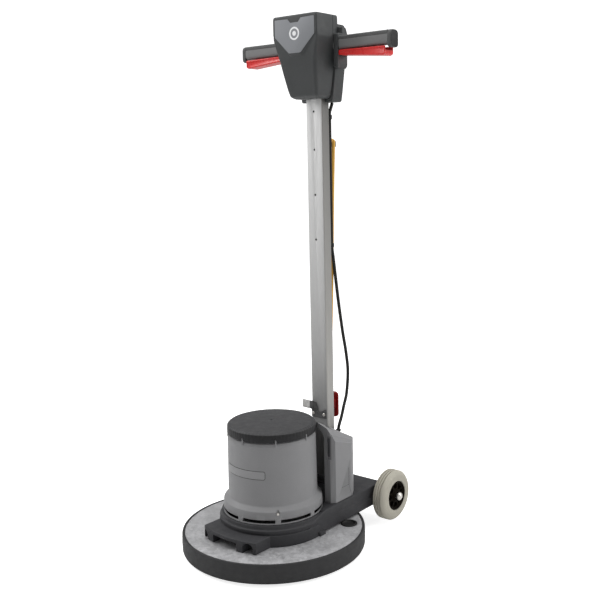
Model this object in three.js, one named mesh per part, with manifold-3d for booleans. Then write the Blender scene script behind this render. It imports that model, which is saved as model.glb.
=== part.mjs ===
// Rotary floor machine (single-disc scrubber), in millimetres, +Z up.
// The origin is on the floor, on the axis of the motor and the brush. The front block
// faces -Y, and the wheels and the operator are on the +Y side.
import * as THREE from 'three';
import { mergeVertices } from 'three/addons/utils/BufferGeometryUtils.js';
import Module from 'manifold-3d';

const wasm = await Module();
wasm.setup();

// ---- Driving dimensions -------------------------------------------------------------
const GAP = 0.3;                     // clearance between neighbouring pieces

// Brush deck
const BUMPER_RADIUS = 215;
const BUMPER_BOTTOM = 8;
const BUMPER_TOP = 52;
const DECK_RADIUS = 208;
const DECK_BOTTOM = 47.5;
const DECK_TOP = 51;
const DECK_CENTRE_HOLE = 62;
const PORT = { x: 140, y: 109, radius: 20 };
const BRUSH_RADIUS = 186;
const BRISTLE_LENGTH = 22;

// Chassis casting
const COLLAR_RADIUS = 126.5;
const COLLAR_STEP_RADIUS = 125.7;
const COLLAR_LIP_RADIUS = 120.5;
const COLLAR_BORE = 111;
const COLLAR_RING_TOP = 77.5;
const COLLAR_STEP_TOP = 89;
const COLLAR_LIP_TOP = 98.7;
const CHASSIS_HALF_WIDTH = 125;
const CHASSIS_UNDERSIDE = 54;
const CHASSIS_FLOOR_TOP = 62;
const REAR_TOP = 104;
const REAR_END = 305;
const BLOCK_LEFT = -85;
const BLOCK_RIGHT = 78;
const BLOCK_FRONT = -151;
const BLOCK_TOP = 78;

// Motor
const CASING_RADIUS = 103;
const CASING_FLANGE_RADIUS = 117;
const CASING_BOTTOM = 99;
const CASING_TOP = 280.5;
const CASING_WALL = 3;
const CAP_RADIUS = 103.6;
const CAP_EDGE_BOTTOM = 282;
const CAP_TOP = 304;
const CAP_DOME = 2.5;
const RIB_COUNT = 8;
const RIB_START = THREE.MathUtils.degToRad(-88);

// Reduction gear: fixed ring, three planets, carrier drives the brush (9 to 1)
const SUN_TEETH = 6;
const PLANET_TEETH = 21;
const RING_TEETH = 48;
const GEAR_MODULE = 2.5;
const PLANET_COUNT = 3;
const ADDENDUM = 0.7 * GEAR_MODULE;
const DEDENDUM = 1.1 * GEAR_MODULE;
const GEAR_BOTTOM = 99;
const GEAR_TOP = 116;
const PLANET_CENTRE = GEAR_MODULE * (SUN_TEETH + PLANET_TEETH) / 2;
const PLANET_BORE = 5.3;
const SHAFT_RADIUS = 7;
const HUB_RADIUS = 20;

// Rear cover
const COVER_HALF_WIDTH = 120.5;
const COVER_FRONT = 77;
const COVER_REAR = 224;
const COVER_WALL = 4;
const COVER_FOOT = REAR_TOP + GAP;
const COVER_RIDGE = 299;              // top of the roof at its front edge
const COVER_SLOPE = 0.537;            // fall of the roof for each unit of run
const GLAND = { x: 37, y: 206 };

// Handle
const PIVOT = { y: 193, z: 132, radius: 6 };
const POLE_WIDTH = 49;
const POLE_DEPTH = 30;
const POLE_WALL = 2;
const POLE_BOTTOM = 120;
const POLE_TOP = 1150;
const POLE_FRONT = PIVOT.y - POLE_DEPTH / 2;
const POLE_BACK = PIVOT.y + POLE_DEPTH / 2;
const POLE_HOLE_HEIGHTS = [713, 821.5, 930, 1021];
const BRACKET_SCREWS = [-17, 16];
const BRACKET_SCREW_Z = 278;
const LOWER_HOOK = { z: 291, outer: 244 };

// Motor lead, on the back of the pole
const LEAD_RADIUS = 4;
const LEAD_X = 19;
const LEAD_Y = POLE_BACK + LEAD_RADIUS + 3;
const UPPER_CLIP_Z = 1008;
const LOWER_CLIP_Z = 690;
const SUPPLY_RADIUS = 4;

// Wheels
const AXLE = { y: 274.6, z: 73, radius: 6 };
const WHEEL_RADIUS = 61.3;
const WHEEL_SEAT = 35.5;
const WHEEL_INNER = 132;
const WHEEL_OUTER = 166;
const AXLE_END = WHEEL_OUTER + 6;

// Control box
const BOX_TOP = 1241;
const BOX_BOTTOM = 1050;
const BOX_FRONT = 112.5;
const BOX_SPLIT = 191;
const BOX_REAR = 234;
const BOX_FOOT = 1043;                // underside of the rear shell
const BOX_WALL = 3;
const GRIP = { y: 190, z: 1176, depth: 28, height: 32, end: 228, root: 82, radius: 9 };
const BAR_RADIUS = 9;
const LEVER = { root: 82, end: 212 };
const LEVER_HINGE = { x: 75, z: 1154, radius: 4, halfWidth: 7, pin: 2 };
const SOCKET_START = 67.5;
const SOCKET_END = 80;
const BUTTON = { x: 0, z: 1190, radius: 8 };

// ---- Geometry helpers ----------------------------------------------------------------
function solidOf(geometry) {
  const plain = geometry.clone();
  plain.deleteAttribute('normal');
  plain.deleteAttribute('uv');
  const merged = mergeVertices(plain, 1e-4);
  const corners = merged.index.array;
  const kept = [];
  for (let i = 0; i < corners.length; i += 3) {
    const [a, b, c] = corners.slice(i, i + 3);
    if (a !== b && b !== c && c !== a) kept.push(a, b, c);
  }
  return new wasm.Manifold(new wasm.Mesh({
    numProp: 3,
    vertProperties: merged.attributes.position.array,
    triVerts: new Uint32Array(kept),
  }));
}

function geometryOf(solid) {
  const mesh = solid.getMesh();
  const geometry = new THREE.BufferGeometry();
  geometry.setAttribute('position', new THREE.BufferAttribute(mesh.vertProperties, 3));
  geometry.setIndex(new THREE.BufferAttribute(mesh.triVerts, 1));
  geometry.computeVertexNormals();
  return geometry;
}

function joined(...solids) {
  return solids.reduce((all, next) => all.add(next));
}

function cut(solid, ...tools) {
  return tools.reduce((left, tool) => left.subtract(tool), solid);
}

function box(x0, x1, y0, y1, z0, z1) {
  const geometry = new THREE.BoxGeometry(x1 - x0, y1 - y0, z1 - z0);
  return solidOf(geometry.translate((x0 + x1) / 2, (y0 + y1) / 2, (z0 + z1) / 2));
}

// Revolves a closed [radius, height] profile, listed anticlockwise, about the Z axis.
function revolved(profile, segments = 40) {
  const points = profile.map(([radius, height]) => new THREE.Vector2(radius, height));
  const onAxis = profile[0][0] === 0 && profile[profile.length - 1][0] === 0;
  if (!onAxis) points.push(points[0].clone());
  return solidOf(new THREE.LatheGeometry(points, segments).rotateX(Math.PI / 2));
}

function ring(inner, outer, z0, z1, segments = 24) {
  return revolved([[inner, z0], [outer, z0], [outer, z1], [inner, z1]], segments);
}

function rodZ(radius, z0, z1, x = 0, y = 0, segments = 14) {
  const geometry = new THREE.CylinderGeometry(radius, radius, z1 - z0, segments);
  return solidOf(geometry.rotateX(Math.PI / 2).translate(x, y, (z0 + z1) / 2));
}

function rodX(radius, x0, x1, y, z, segments = 12) {
  const geometry = new THREE.CylinderGeometry(radius, radius, x1 - x0, segments);
  return solidOf(geometry.rotateZ(Math.PI / 2).translate((x0 + x1) / 2, y, z));
}

function rodY(radius, y0, y1, x, z, segments = 12) {
  const geometry = new THREE.CylinderGeometry(radius, radius, y1 - y0, segments);
  return solidOf(geometry.translate(x, (y0 + y1) / 2, z));
}

function outline(points) {
  return new THREE.Shape(points.map(([u, v]) => new THREE.Vector2(u, v)));
}

function roundedRectangle(u0, u1, v0, v1, radius) {
  const shape = new THREE.Shape();
  shape.moveTo(u0 + radius, v0);
  shape.absarc(u1 - radius, v0 + radius, radius, -Math.PI / 2, 0, false);
  shape.absarc(u1 - radius, v1 - radius, radius, 0, Math.PI / 2, false);
  shape.absarc(u0 + radius, v1 - radius, radius, Math.PI / 2, Math.PI, false);
  shape.absarc(u0 + radius, v0 + radius, radius, Math.PI, 1.5 * Math.PI, false);
  return shape;
}

function extruded(shape, depth, curveSegments = 4) {
  return new THREE.ExtrudeGeometry(shape, { depth, bevelEnabled: false, curveSegments, steps: 1 });
}

// A shape drawn in X and Y, standing from z0 to z1.
function upright(shape, z0, z1, curveSegments) {
  return solidOf(extruded(shape, z1 - z0, curveSegments).translate(0, 0, z0));
}

// A shape drawn in Y and Z, running from x0 to x1.
function alongX(shape, x0, x1, curveSegments) {
  const turn = new THREE.Matrix4().makeBasis(
    new THREE.Vector3(0, 1, 0), new THREE.Vector3(0, 0, 1), new THREE.Vector3(1, 0, 0));
  return solidOf(extruded(shape, x1 - x0, curveSegments).applyMatrix4(turn).translate(x0, 0, 0));
}

// A shape drawn in X and Z, running from y0 to y1.
function alongY(shape, y0, y1, curveSegments) {
  return solidOf(extruded(shape, y1 - y0, curveSegments).rotateX(Math.PI / 2).translate(0, y1, 0));
}

function mirrored(profile) {
  return [...profile, ...profile.slice().reverse().map(([u, v]) => [-u, v])];
}

// A round lead of the given radius along a smooth curve through the points. Each span between
// two points has the same number of steps, so closely spaced points give a fine bend.
function lead(points, radius, stepsPerSpan) {
  const curve = new THREE.CatmullRomCurve3(points.map(([x, y, z]) => new THREE.Vector3(x, y, z)));
  curve.getUtoTmapping = (share) => share;
  const steps = (points.length - 1) * stepsPerSpan;
  const section = new THREE.Shape();
  section.absarc(0, 0, radius, 0, 2 * Math.PI, false);
  return solidOf(new THREE.ExtrudeGeometry(section, {
    steps, extrudePath: curve, curveSegments: 3, bevelEnabled: false,
  }));
}

// ---- Scene graph ----------------------------------------------------------------------
const machine = new THREE.Group();
const base = new THREE.Group();
const motor = new THREE.Group();
const drive = new THREE.Group();
const wheels = new THREE.Group();
const handle = new THREE.Group();
machine.add(base, motor, drive, wheels, handle);

const FINISHES = {
  galvanised: [0xa9aaac, 0.45, 0.6],
  bumper: [0x2e2e30, 0.75, 0],
  casting: [0x3b3b3f, 0.6, 0],
  casing: [0x85868a, 0.55, 0],
  darkPlastic: [0x454649, 0.5, 0],
  blackPlastic: [0x1b1b1c, 0.55, 0],
  label: [0x8f9094, 0.5, 0],
  steel: [0xb9b9bb, 0.35, 0.9],
  poleMetal: [0xc2c2c1, 0.4, 0.7],
  tyre: [0xb5b0a1, 0.8, 0],
  hub: [0x1e1712, 0.6, 0],
  red: [0xc81e22, 0.4, 0],
  darkRed: [0x9a1214, 0.45, 0],
  yellow: [0xd6a23f, 0.55, 0],
  copper: [0x9c5f3a, 0.5, 0.4],
  brass: [0xb08d45, 0.4, 0.8],
  bristle: [0x4c6a8a, 0.9, 0],
};

function piece(group, name, solid, finish) {
  const [color, roughness, metalness] = FINISHES[finish];
  const material = new THREE.MeshStandardMaterial({ color, roughness, metalness });
  const mesh = new THREE.Mesh(geometryOf(solid), material);
  mesh.name = name;
  group.add(mesh);
  return mesh;
}

// ---- Brush deck -------------------------------------------------------------------------
function deckPlate() {
  const plate = ring(DECK_CENTRE_HOLE, DECK_RADIUS, DECK_BOTTOM, DECK_TOP, 36);
  return cut(plate, rodZ(PORT.radius - 3, DECK_BOTTOM - 1, DECK_TOP + 1, PORT.x, PORT.y));
}

function bumperRing() {
  const grip = DECK_RADIUS + GAP;
  return revolved([
    [DECK_RADIUS, BUMPER_BOTTOM], [BUMPER_RADIUS - 4, BUMPER_BOTTOM],
    [BUMPER_RADIUS, BUMPER_BOTTOM + 4], [BUMPER_RADIUS, BUMPER_TOP - 3],
    [BUMPER_RADIUS - 3, BUMPER_TOP], [grip, BUMPER_TOP],
    [grip, DECK_BOTTOM - GAP], [DECK_RADIUS - 6, DECK_BOTTOM - GAP],
    [DECK_RADIUS - 6, DECK_BOTTOM - 5], [DECK_RADIUS, DECK_BOTTOM - 9],
  ], 36);
}

function portPlug() {
  return joined(
    rodZ(PORT.radius, DECK_TOP + GAP, DECK_TOP + 3, PORT.x, PORT.y),
    rodZ(PORT.radius - 3 - GAP, DECK_BOTTOM - 4, DECK_TOP + 1, PORT.x, PORT.y));
}

piece(base, 'deck_plate', deckPlate(), 'galvanised');
piece(base, 'bumper_ring', bumperRing(), 'bumper');
piece(base, 'deck_port_plug', portPlug(), 'blackPlastic');

// ---- Chassis casting ----------------------------------------------------------------------
function chassisOuter() {
  const foot = DECK_TOP + GAP;
  const collar = revolved([
    [0, foot], [COLLAR_RADIUS, foot], [COLLAR_RADIUS, COLLAR_RING_TOP - 1],
    [COLLAR_RADIUS - 2.5, COLLAR_RING_TOP], [COLLAR_STEP_RADIUS, COLLAR_RING_TOP + 1.5],
    [COLLAR_STEP_RADIUS, COLLAR_STEP_TOP - 1], [COLLAR_LIP_RADIUS + 1, COLLAR_STEP_TOP],
    [COLLAR_LIP_RADIUS, COLLAR_LIP_TOP], [0, COLLAR_LIP_TOP],
  ], 36);
  const side = outline([
    [-20, CHASSIS_UNDERSIDE], [REAR_END, CHASSIS_UNDERSIDE], [REAR_END, 80], [288, 94],
    [262, REAR_TOP], [45, REAR_TOP], [-8, COLLAR_STEP_TOP], [-20, COLLAR_RING_TOP], [-20, 60],
  ]);
  const arms = alongX(side, -CHASSIS_HALF_WIDTH, CHASSIS_HALF_WIDTH);
  const plan = roundedRectangle(-CHASSIS_HALF_WIDTH, CHASSIS_HALF_WIDTH, -100, REAR_END, 18);
  const front = outline([
    [BLOCK_LEFT, -80], [BLOCK_LEFT - 2, BLOCK_FRONT + 10], [-78, BLOCK_FRONT + 5],
    [-45, BLOCK_FRONT - 4], [0, BLOCK_FRONT - 9], [45, BLOCK_FRONT - 5],
    [BLOCK_RIGHT, BLOCK_FRONT + 4], [BLOCK_RIGHT, -80],
  ]);
  const feet = joined(box(110, 131, 12, 34, foot, CHASSIS_UNDERSIDE + 3),
    box(-131, -110, 12, 34, foot, CHASSIS_UNDERSIDE + 3));
  return joined(
    collar,
    arms.intersect(upright(plan, CHASSIS_UNDERSIDE - 1, REAR_TOP + 1, 3)),
    upright(front, foot, BLOCK_TOP),
    feet);
}

function archway(x, halfWidth, top) {
  const shape = new THREE.Shape();
  shape.moveTo(x - halfWidth, DECK_BOTTOM);
  shape.lineTo(x + halfWidth, DECK_BOTTOM);
  shape.absarc(x, top - halfWidth, halfWidth, 0, Math.PI, false);
  shape.lineTo(x - halfWidth, DECK_BOTTOM);
  return alongY(shape, BLOCK_FRONT - 10, BLOCK_FRONT + 20, 5);
}

function chassisFrame() {
  const floorHole = 40;
  const armWall = 8;
  const topSkin = 6;
  const motorWell = rodZ(COLLAR_BORE, CHASSIS_FLOOR_TOP, REAR_TOP + 10, 0, 0, 30);
  const casingRoom = rodZ(CASING_FLANGE_RADIUS + 1.5, CASING_BOTTOM - GAP, REAR_TOP + 10, 0, 0, 30);
  const inner = CHASSIS_HALF_WIDTH - armWall;
  const rearPocket = box(-inner, inner, 130, 250, CHASSIS_UNDERSIDE - 5, REAR_TOP - topSkin);
  const frontPocket = box(-66, 66, BLOCK_FRONT + 14, -131, DECK_BOTTOM, BLOCK_TOP - 5);
  return cut(
    chassisOuter(), motorWell, casingRoom, rearPocket, frontPocket,
    rodZ(floorHole, DECK_BOTTOM, CHASSIS_FLOOR_TOP + 1),
    box(-83, -68, BLOCK_FRONT - 10, BLOCK_FRONT + 20, DECK_BOTTOM, 67),
    box(-45, 29, BLOCK_FRONT - 10, BLOCK_FRONT + 20, DECK_BOTTOM, 69),
    archway(58.5, 12, 74),
    rodX(AXLE.radius + GAP, -200, 200, AXLE.y, AXLE.z));
}

piece(base, 'chassis_frame', chassisFrame(), 'casting');

// ---- Motor casing, cap and inner parts ------------------------------------------------------
function motorCasing() {
  const inner = CASING_RADIUS - CASING_WALL;
  const shell = revolved([
    [CASING_FLANGE_RADIUS - CASING_WALL, CASING_BOTTOM], [CASING_FLANGE_RADIUS, CASING_BOTTOM],
    [115, 127.5], [CASING_RADIUS + 1, 136.5], [CASING_RADIUS - 0.5, CASING_TOP - 9],
    [CASING_RADIUS - 3.5, CASING_TOP], [inner - 2, CASING_TOP], [inner - 1, CASING_TOP - 10],
    [inner, 138], [115 - CASING_WALL, 126.5],
  ], 32);
  const slotTool = outline([
    [60, -60 * Math.tan(0.34)], [140, -140 * Math.tan(0.34)],
    [140, 140 * Math.tan(0.34)], [60, 60 * Math.tan(0.34)],
  ]);
  let casing = shell;
  for (let i = 0; i < RIB_COUNT; i += 1) {
    const turn = THREE.MathUtils.radToDeg(RIB_START) + (i * 360) / RIB_COUNT;
    const slot = upright(slotTool, CASING_BOTTOM + 3, CASING_BOTTOM + 11).rotate([0, 0, turn + 22.5]);
    casing = casing.subtract(slot);
  }
  for (let i = 0; i < RIB_COUNT; i += 1) {
    const turn = THREE.MathUtils.radToDeg(RIB_START) + (i * 360) / RIB_COUNT;
    const rib = box(CASING_RADIUS - 3, CASING_RADIUS, -1.5, 1.5, CASING_TOP - 9, CAP_EDGE_BOTTOM + 8);
    casing = casing.add(rib.rotate([0, 0, turn]));
  }
  const screwTurn = THREE.MathUtils.radToDeg(RIB_START) + 360 / RIB_COUNT;
  const recess = box(110.5, 125, -4, 4, 121.5, 133);
  return casing.add(box(106, 110.5, -6, 6, 119, 131).rotate([0, 0, screwTurn]))
    .subtract(recess.rotate([0, 0, screwTurn]));
}

// The cap's skirt has a notch for each of the casing's ribs.
function motorCap() {
  const neck = CASING_RADIUS - 6;
  const bore = 5;
  let cap = revolved([
    [0, CAP_TOP - 8], [neck - 8, CAP_TOP - 8], [neck - 8, CASING_TOP - 12], [neck - 2, CASING_TOP - 12],
    [neck - 2, CAP_EDGE_BOTTOM], [CAP_RADIUS, CAP_EDGE_BOTTOM], [CAP_RADIUS, CAP_TOP - 6],
    [CAP_RADIUS - 4, CAP_TOP], [40, CAP_TOP + CAP_DOME - 0.6],
    [10, CAP_TOP + CAP_DOME], [7, CAP_TOP + CAP_DOME - 2.5], [0, CAP_TOP + CAP_DOME - 2.5],
  ], 32);
  for (let i = 0; i < RIB_COUNT; i += 1) {
    const turn = THREE.MathUtils.radToDeg(RIB_START) + (i * 360) / RIB_COUNT;
    const notch = box(CASING_RADIUS - 4, CASING_RADIUS + 5, -5.5, 2, CAP_EDGE_BOTTOM - 5, CAP_EDGE_BOTTOM + 9);
    cap = cap.subtract(notch.rotate([0, 0, turn]));
  }
  return cut(cap, rodZ(bore, CAP_TOP - 20, CAP_TOP + 10));
}

function capScrew() {
  const head = revolved([
    [0, CAP_TOP - 1], [4.6, CAP_TOP - 1], [4.6, CAP_TOP + 0.4], [3, CAP_TOP + 1.6], [0, CAP_TOP + 2],
  ], 16);
  const shank = rodZ(2.5, CAP_TOP - 22, CAP_TOP, 0, 0, 12);
  return joined(head, shank);
}

function casingScrew() {
  const turn = THREE.MathUtils.radToDeg(RIB_START) + 360 / RIB_COUNT;
  return rodX(3, 111, 113.5, 0, 125.5, 12).rotate([0, 0, turn]);
}

piece(motor, 'motor_casing', motorCasing(), 'casing');
piece(motor, 'motor_cap', motorCap(), 'darkPlastic');
piece(motor, 'cap_screw', capScrew(), 'steel');
piece(motor, 'casing_screw', casingScrew(), 'steel');

// Plain trapezoid teeth, thin enough to leave backlash on both flanks.
function toothedOutline(teeth, inwards, firstTooth) {
  const pitch = (GEAR_MODULE * teeth) / 2;
  const tip = inwards ? pitch - ADDENDUM : pitch + ADDENDUM;
  const root = inwards ? pitch + DEDENDUM : pitch - DEDENDUM;
  const half = Math.PI / teeth;
  const points = [];
  for (let i = 0; i < teeth; i += 1) {
    const centre = firstTooth + 2 * half * i;
    const corners = [[root, -0.43], [tip, -0.08], [tip, 0.08], [root, 0.43]];
    for (const [radius, share] of corners) {
      const angle = centre + share * half;
      points.push(new THREE.Vector2(radius * Math.cos(angle), radius * Math.sin(angle)));
    }
  }
  return points;
}

function ringGear() {
  const outerRadius = 69;
  const shape = new THREE.Shape();
  shape.absarc(0, 0, outerRadius, 0, 2 * Math.PI, false);
  const firstTooth = PLANET_TEETH % 2 ? Math.PI / RING_TEETH : 0;
  shape.holes.push(new THREE.Path(toothedOutline(RING_TEETH, true, firstTooth)));
  return upright(shape, GEAR_BOTTOM - 1, GEAR_TOP + 1, 14);
}

function gearboxCase() {
  return revolved([
    [38 + GAP, 62 + GAP], [78, 62 + GAP], [78, 121.5], [70 + GAP, 121.5], [70 + GAP, 84], [38 + GAP, 84],
  ], 24);
}

piece(motor, 'gearbox_case', gearboxCase(), 'steel');
piece(motor, 'ring_gear', ringGear(), 'steel');
piece(motor, 'output_bearing', ring(HUB_RADIUS + GAP, 38, 64, 80, 24), 'steel');
piece(motor, 'lower_end_shield', revolved([
  [20 + GAP, 122], [98, 122], [98, 126], [30, 126], [30, 137], [20 + GAP, 137],
], 24), 'steel');
piece(motor, 'lower_bearing', ring(SHAFT_RADIUS + GAP, 20, 123, 135, 24), 'steel');
piece(motor, 'stator_core', ring(58, 88, 152, 226, 28), 'copper');
piece(motor, 'upper_end_shield', revolved([
  [17 + GAP, 250], [94, 250], [94, 254], [27, 254], [27, 264], [17 + GAP, 264],
], 24), 'steel');
piece(motor, 'upper_bearing', ring(SHAFT_RADIUS + GAP, 17, 251, 262, 24), 'steel');

// ---- Rotor ----------------------------------------------------------------------------------
function motorShaft() {
  const sun = upright(new THREE.Shape(toothedOutline(SUN_TEETH, false, 0)), GEAR_BOTTOM, GEAR_TOP);
  return joined(sun, rodZ(SHAFT_RADIUS, GEAR_TOP - 0.5, 270, 0, 0, 20));
}

function coolingFan() {
  const bladeCount = 5;
  let fan = joined(ring(SHAFT_RADIUS + GAP, 14, 232, 246, 16), ring(12, 66, 232, 234, 24));
  for (let i = 0; i < bladeCount; i += 1) {
    const blade = box(13, 66, -1, 1, 233, 245);
    fan = fan.add(blade.rotate([0, 0, (360 * i) / bladeCount + 3]));
  }
  return fan;
}

piece(drive, 'motor_shaft', motorShaft(), 'steel');
piece(drive, 'rotor_core', ring(SHAFT_RADIUS + GAP, 56, 152, 226, 24), 'steel');
piece(drive, 'cooling_fan', coolingFan(), 'blackPlastic');

// ---- Planet gears, carrier and brush -----------------------------------------------------------
function planetGear(index) {
  const place = (2 * Math.PI * index) / PLANET_COUNT;
  const firstTooth = place + Math.PI - (Math.PI - SUN_TEETH * place) / PLANET_TEETH;
  const shape = new THREE.Shape(toothedOutline(PLANET_TEETH, false, firstTooth));
  const bore = new THREE.Path();
  bore.absarc(0, 0, PLANET_BORE, 0, 2 * Math.PI, true);
  shape.holes.push(bore);
  const gear = piece(drive, `planet_gear_${index + 1}`, upright(shape, GEAR_BOTTOM, GEAR_TOP - 1, 7), 'steel');
  gear.position.set(PLANET_CENTRE * Math.cos(place), PLANET_CENTRE * Math.sin(place), 0);
}

function planetCarrier() {
  let carrier = joined(rodZ(46, 86, GEAR_BOTTOM - 2, 0, 0, 28), rodZ(HUB_RADIUS, 31, 90, 0, 0, 24));
  for (let i = 0; i < PLANET_COUNT; i += 1) {
    const place = (2 * Math.PI * i) / PLANET_COUNT;
    const x = PLANET_CENTRE * Math.cos(place);
    const y = PLANET_CENTRE * Math.sin(place);
    carrier = carrier.add(rodZ(PLANET_BORE - GAP, 90, GEAR_TOP + 2, x, y, 14));
  }
  return carrier;
}

function brushBlock() {
  return revolved([
    [HUB_RADIUS + 32, BRISTLE_LENGTH + GAP], [BRUSH_RADIUS + 2, BRISTLE_LENGTH + GAP],
    [BRUSH_RADIUS + 2, 36], [BRUSH_RADIUS - 4, 39], [70, 39], [70, 30], [HUB_RADIUS + 32, 30],
  ], 28);
}

for (let i = 0; i < PLANET_COUNT; i += 1) planetGear(i);
piece(drive, 'planet_carrier', planetCarrier(), 'steel');
piece(drive, 'drive_plate', ring(HUB_RADIUS + GAP, 69, 31, 38, 28), 'darkPlastic');
piece(drive, 'brush_block', brushBlock(), 'darkPlastic');
piece(drive, 'brush_bristles', rodZ(BRUSH_RADIUS, 0, BRISTLE_LENGTH, 0, 0, 28), 'bristle');

// ---- Rear cover, capacitors and handle pivot --------------------------------------------------------
// Height of the cover's roof at a distance y behind the brush axis: it falls towards the rear.
function coverRoof(y) {
  return COVER_RIDGE - COVER_SLOPE * (y - COVER_FRONT);
}

// The cover's outside, or with an inset the room inside it. The roof's shoulders fall away
// most at the front and less towards the rear.
function coverBlank(inset) {
  const half = COVER_HALF_WIDTH - inset;
  const front = COVER_FRONT + inset;
  const rear = COVER_REAR - inset;
  const foot = COVER_FOOT - (inset > 0 ? 1 : 0);
  const side = outline([
    [front, foot], [rear, foot], [rear, coverRoof(rear) - inset], [front, coverRoof(front) - inset],
  ]);
  const plan = outline([
    [9 - half, front], [half - 9, front], [half, front + 9], [half, 149 - inset], [half - 16, 176 - inset],
    [66 - inset, rear], [inset - 66, rear], [16 - half, 176 - inset], [-half, 149 - inset], [-half, front + 9],
  ]);
  const crownHalf = [
    [half, 256 - inset], [half - 6, 271 - inset], [half - 18, 284 - inset], [72, 295 - inset],
    [30, COVER_RIDGE - inset],
  ];
  const crown = outline([[-half, foot - 1], [half, foot - 1], ...crownHalf,
    ...crownHalf.slice().reverse().map(([x, z]) => [-x, z])]);
  const length = 150;
  const shoulder = alongY(crown, 0, length).warp((vertex) => {
    const atRear = vertex[1] > length / 2;
    const drop = COVER_RIDGE - inset - vertex[2];
    if (atRear && vertex[2] > COVER_FOOT) {
      vertex[2] = COVER_RIDGE - inset - COVER_SLOPE * length - drop / 4;
    }
    vertex[1] += COVER_FRONT - 1;
  });
  return alongX(side, -half, half).intersect(upright(plan, 90, 320)).intersect(shoulder);
}

function rearCover() {
  const motorRoom = rodZ(CASING_FLANGE_RADIUS + 3, 90, 134, 0, 0, 48);
  const casingRoom = rodZ(CASING_RADIUS + 4.5, 90, 320, 0, 0, 48);
  const slotHalf = 29;
  const poleSlot = joined(
    box(-slotHalf, slotHalf, POLE_FRONT - 3, 240, 118, 320),
    box(-slotHalf, slotHalf, POLE_FRONT - 3, POLE_BACK, 150, 320));
  const mouth = new THREE.Shape();
  mouth.moveTo(-94, 90);
  mouth.lineTo(94, 90);
  mouth.absarc(70, 256, 24, 0, Math.PI / 2, false);
  mouth.absarc(-70, 256, 24, Math.PI / 2, Math.PI, false);
  const glandHole = rodZ(5.5, 214, 260, GLAND.x, GLAND.y, 16);
  return cut(
    coverBlank(0), coverBlank(COVER_WALL), motorRoom, casingRoom, poleSlot, glandHole,
    alongY(mouth, COVER_FRONT - 5, COVER_FRONT + 40, 5));
}

function leadGland() {
  const roof = coverRoof(GLAND.y);
  return joined(
    rodZ(5.5 - GAP, roof - 12, roof + 4, GLAND.x, GLAND.y, 14),
    rodZ(6.8, roof + 4.5, roof + 8, GLAND.x, GLAND.y, 14),
    rodZ(5, roof + 3, roof + 6, GLAND.x, GLAND.y, 14));
}

function capacitor(x) {
  return joined(rodZ(19, COVER_FOOT + 2, 190, x, 150), rodZ(12, 189, 194, x, 150));
}

function handleBracket() {
  const inside = POLE_WIDTH / 2 + 1;
  const cheek = outline([
    [172, COVER_FOOT], [214, COVER_FOOT], [210, 138], [202, 146], [184, 146], [176, 138],
  ]);
  const plate = box(-44, 44, 166, 216, COVER_FOOT, COVER_FOOT + 4);
  const cheeks = joined(alongX(cheek, -inside - 3.5, -inside), alongX(cheek, inside, inside + 3.5));
  return cut(joined(plate, cheeks), rodX(PIVOT.radius + GAP, -60, 60, PIVOT.y, PIVOT.z));
}

function pivotPin() {
  const head = POLE_WIDTH / 2 + 5;
  return joined(
    rodX(PIVOT.radius, -head, head, PIVOT.y, PIVOT.z),
    rodX(PIVOT.radius + 3, -head - 3, -head, PIVOT.y, PIVOT.z),
    rodX(PIVOT.radius + 3, head, head + 3, PIVOT.y, PIVOT.z));
}

piece(base, 'rear_cover', rearCover(), 'casing');
piece(base, 'lead_gland', leadGland(), 'blackPlastic');
piece(base, 'start_capacitor', capacitor(-72), 'blackPlastic');
piece(base, 'run_capacitor', capacitor(72), 'blackPlastic');
piece(base, 'handle_bracket', handleBracket(), 'steel');
piece(base, 'pivot_pin', pivotPin(), 'steel');

// ---- Wheels -----------------------------------------------------------------------------------------
function wheelPart(profile, side) {
  const solid = revolved(profile, 24).rotate([0, 90, 0]).translate([0, AXLE.y, AXLE.z]);
  return side > 0 ? solid : solid.mirror([1, 0, 0]);
}

function tyreProfile() {
  const seat = WHEEL_SEAT;
  return [
    [seat, WHEEL_INNER + 4], [WHEEL_RADIUS - 7, WHEEL_INNER], [WHEEL_RADIUS - 2, WHEEL_INNER + 3],
    [WHEEL_RADIUS, WHEEL_INNER + 9], [WHEEL_RADIUS, WHEEL_OUTER - 10], [WHEEL_RADIUS - 1, WHEEL_OUTER - 8],
    [WHEEL_RADIUS - 4.5, WHEEL_OUTER - 4], [WHEEL_RADIUS - 10, WHEEL_OUTER - 1], [45, WHEEL_OUTER],
    [seat + 1, WHEEL_OUTER - 1], [seat, WHEEL_OUTER - 4],
  ];
}

function hubProfile() {
  const rim = WHEEL_SEAT - GAP;
  return [
    [AXLE.radius + GAP, WHEEL_INNER + 2], [12, WHEEL_INNER + 2], [rim, WHEEL_INNER + 5],
    [rim, WHEEL_OUTER - 1.5], [32, WHEEL_OUTER - 1.5], [28, WHEEL_OUTER - 7], [14, WHEEL_OUTER - 7],
    [12, WHEEL_OUTER + 2], [AXLE.radius + GAP, WHEEL_OUTER + 2],
  ];
}

for (const [name, side] of [['left', -1], ['right', 1]]) {
  piece(wheels, `tyre_${name}`, wheelPart(tyreProfile(), side), 'tyre');
  piece(wheels, `wheel_hub_${name}`, wheelPart(hubProfile(), side), 'hub');
  const cap = revolved([
    [0, AXLE_END + GAP], [10, AXLE_END - 2], [10, AXLE_END + 1], [8, AXLE_END + 4], [0, AXLE_END + 6],
  ], 16);
  const bore = rodZ(AXLE.radius + GAP, 100, AXLE_END + GAP, 0, 0, 16);
  const placed = cut(cap, bore).rotate([0, 90, 0]).translate([0, AXLE.y, AXLE.z]);
  piece(wheels, `axle_cap_${name}`, side > 0 ? placed : placed.mirror([1, 0, 0]), 'steel');
}
piece(wheels, 'axle', rodX(AXLE.radius, -AXLE_END, AXLE_END, AXLE.y, AXLE.z), 'steel');

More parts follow.
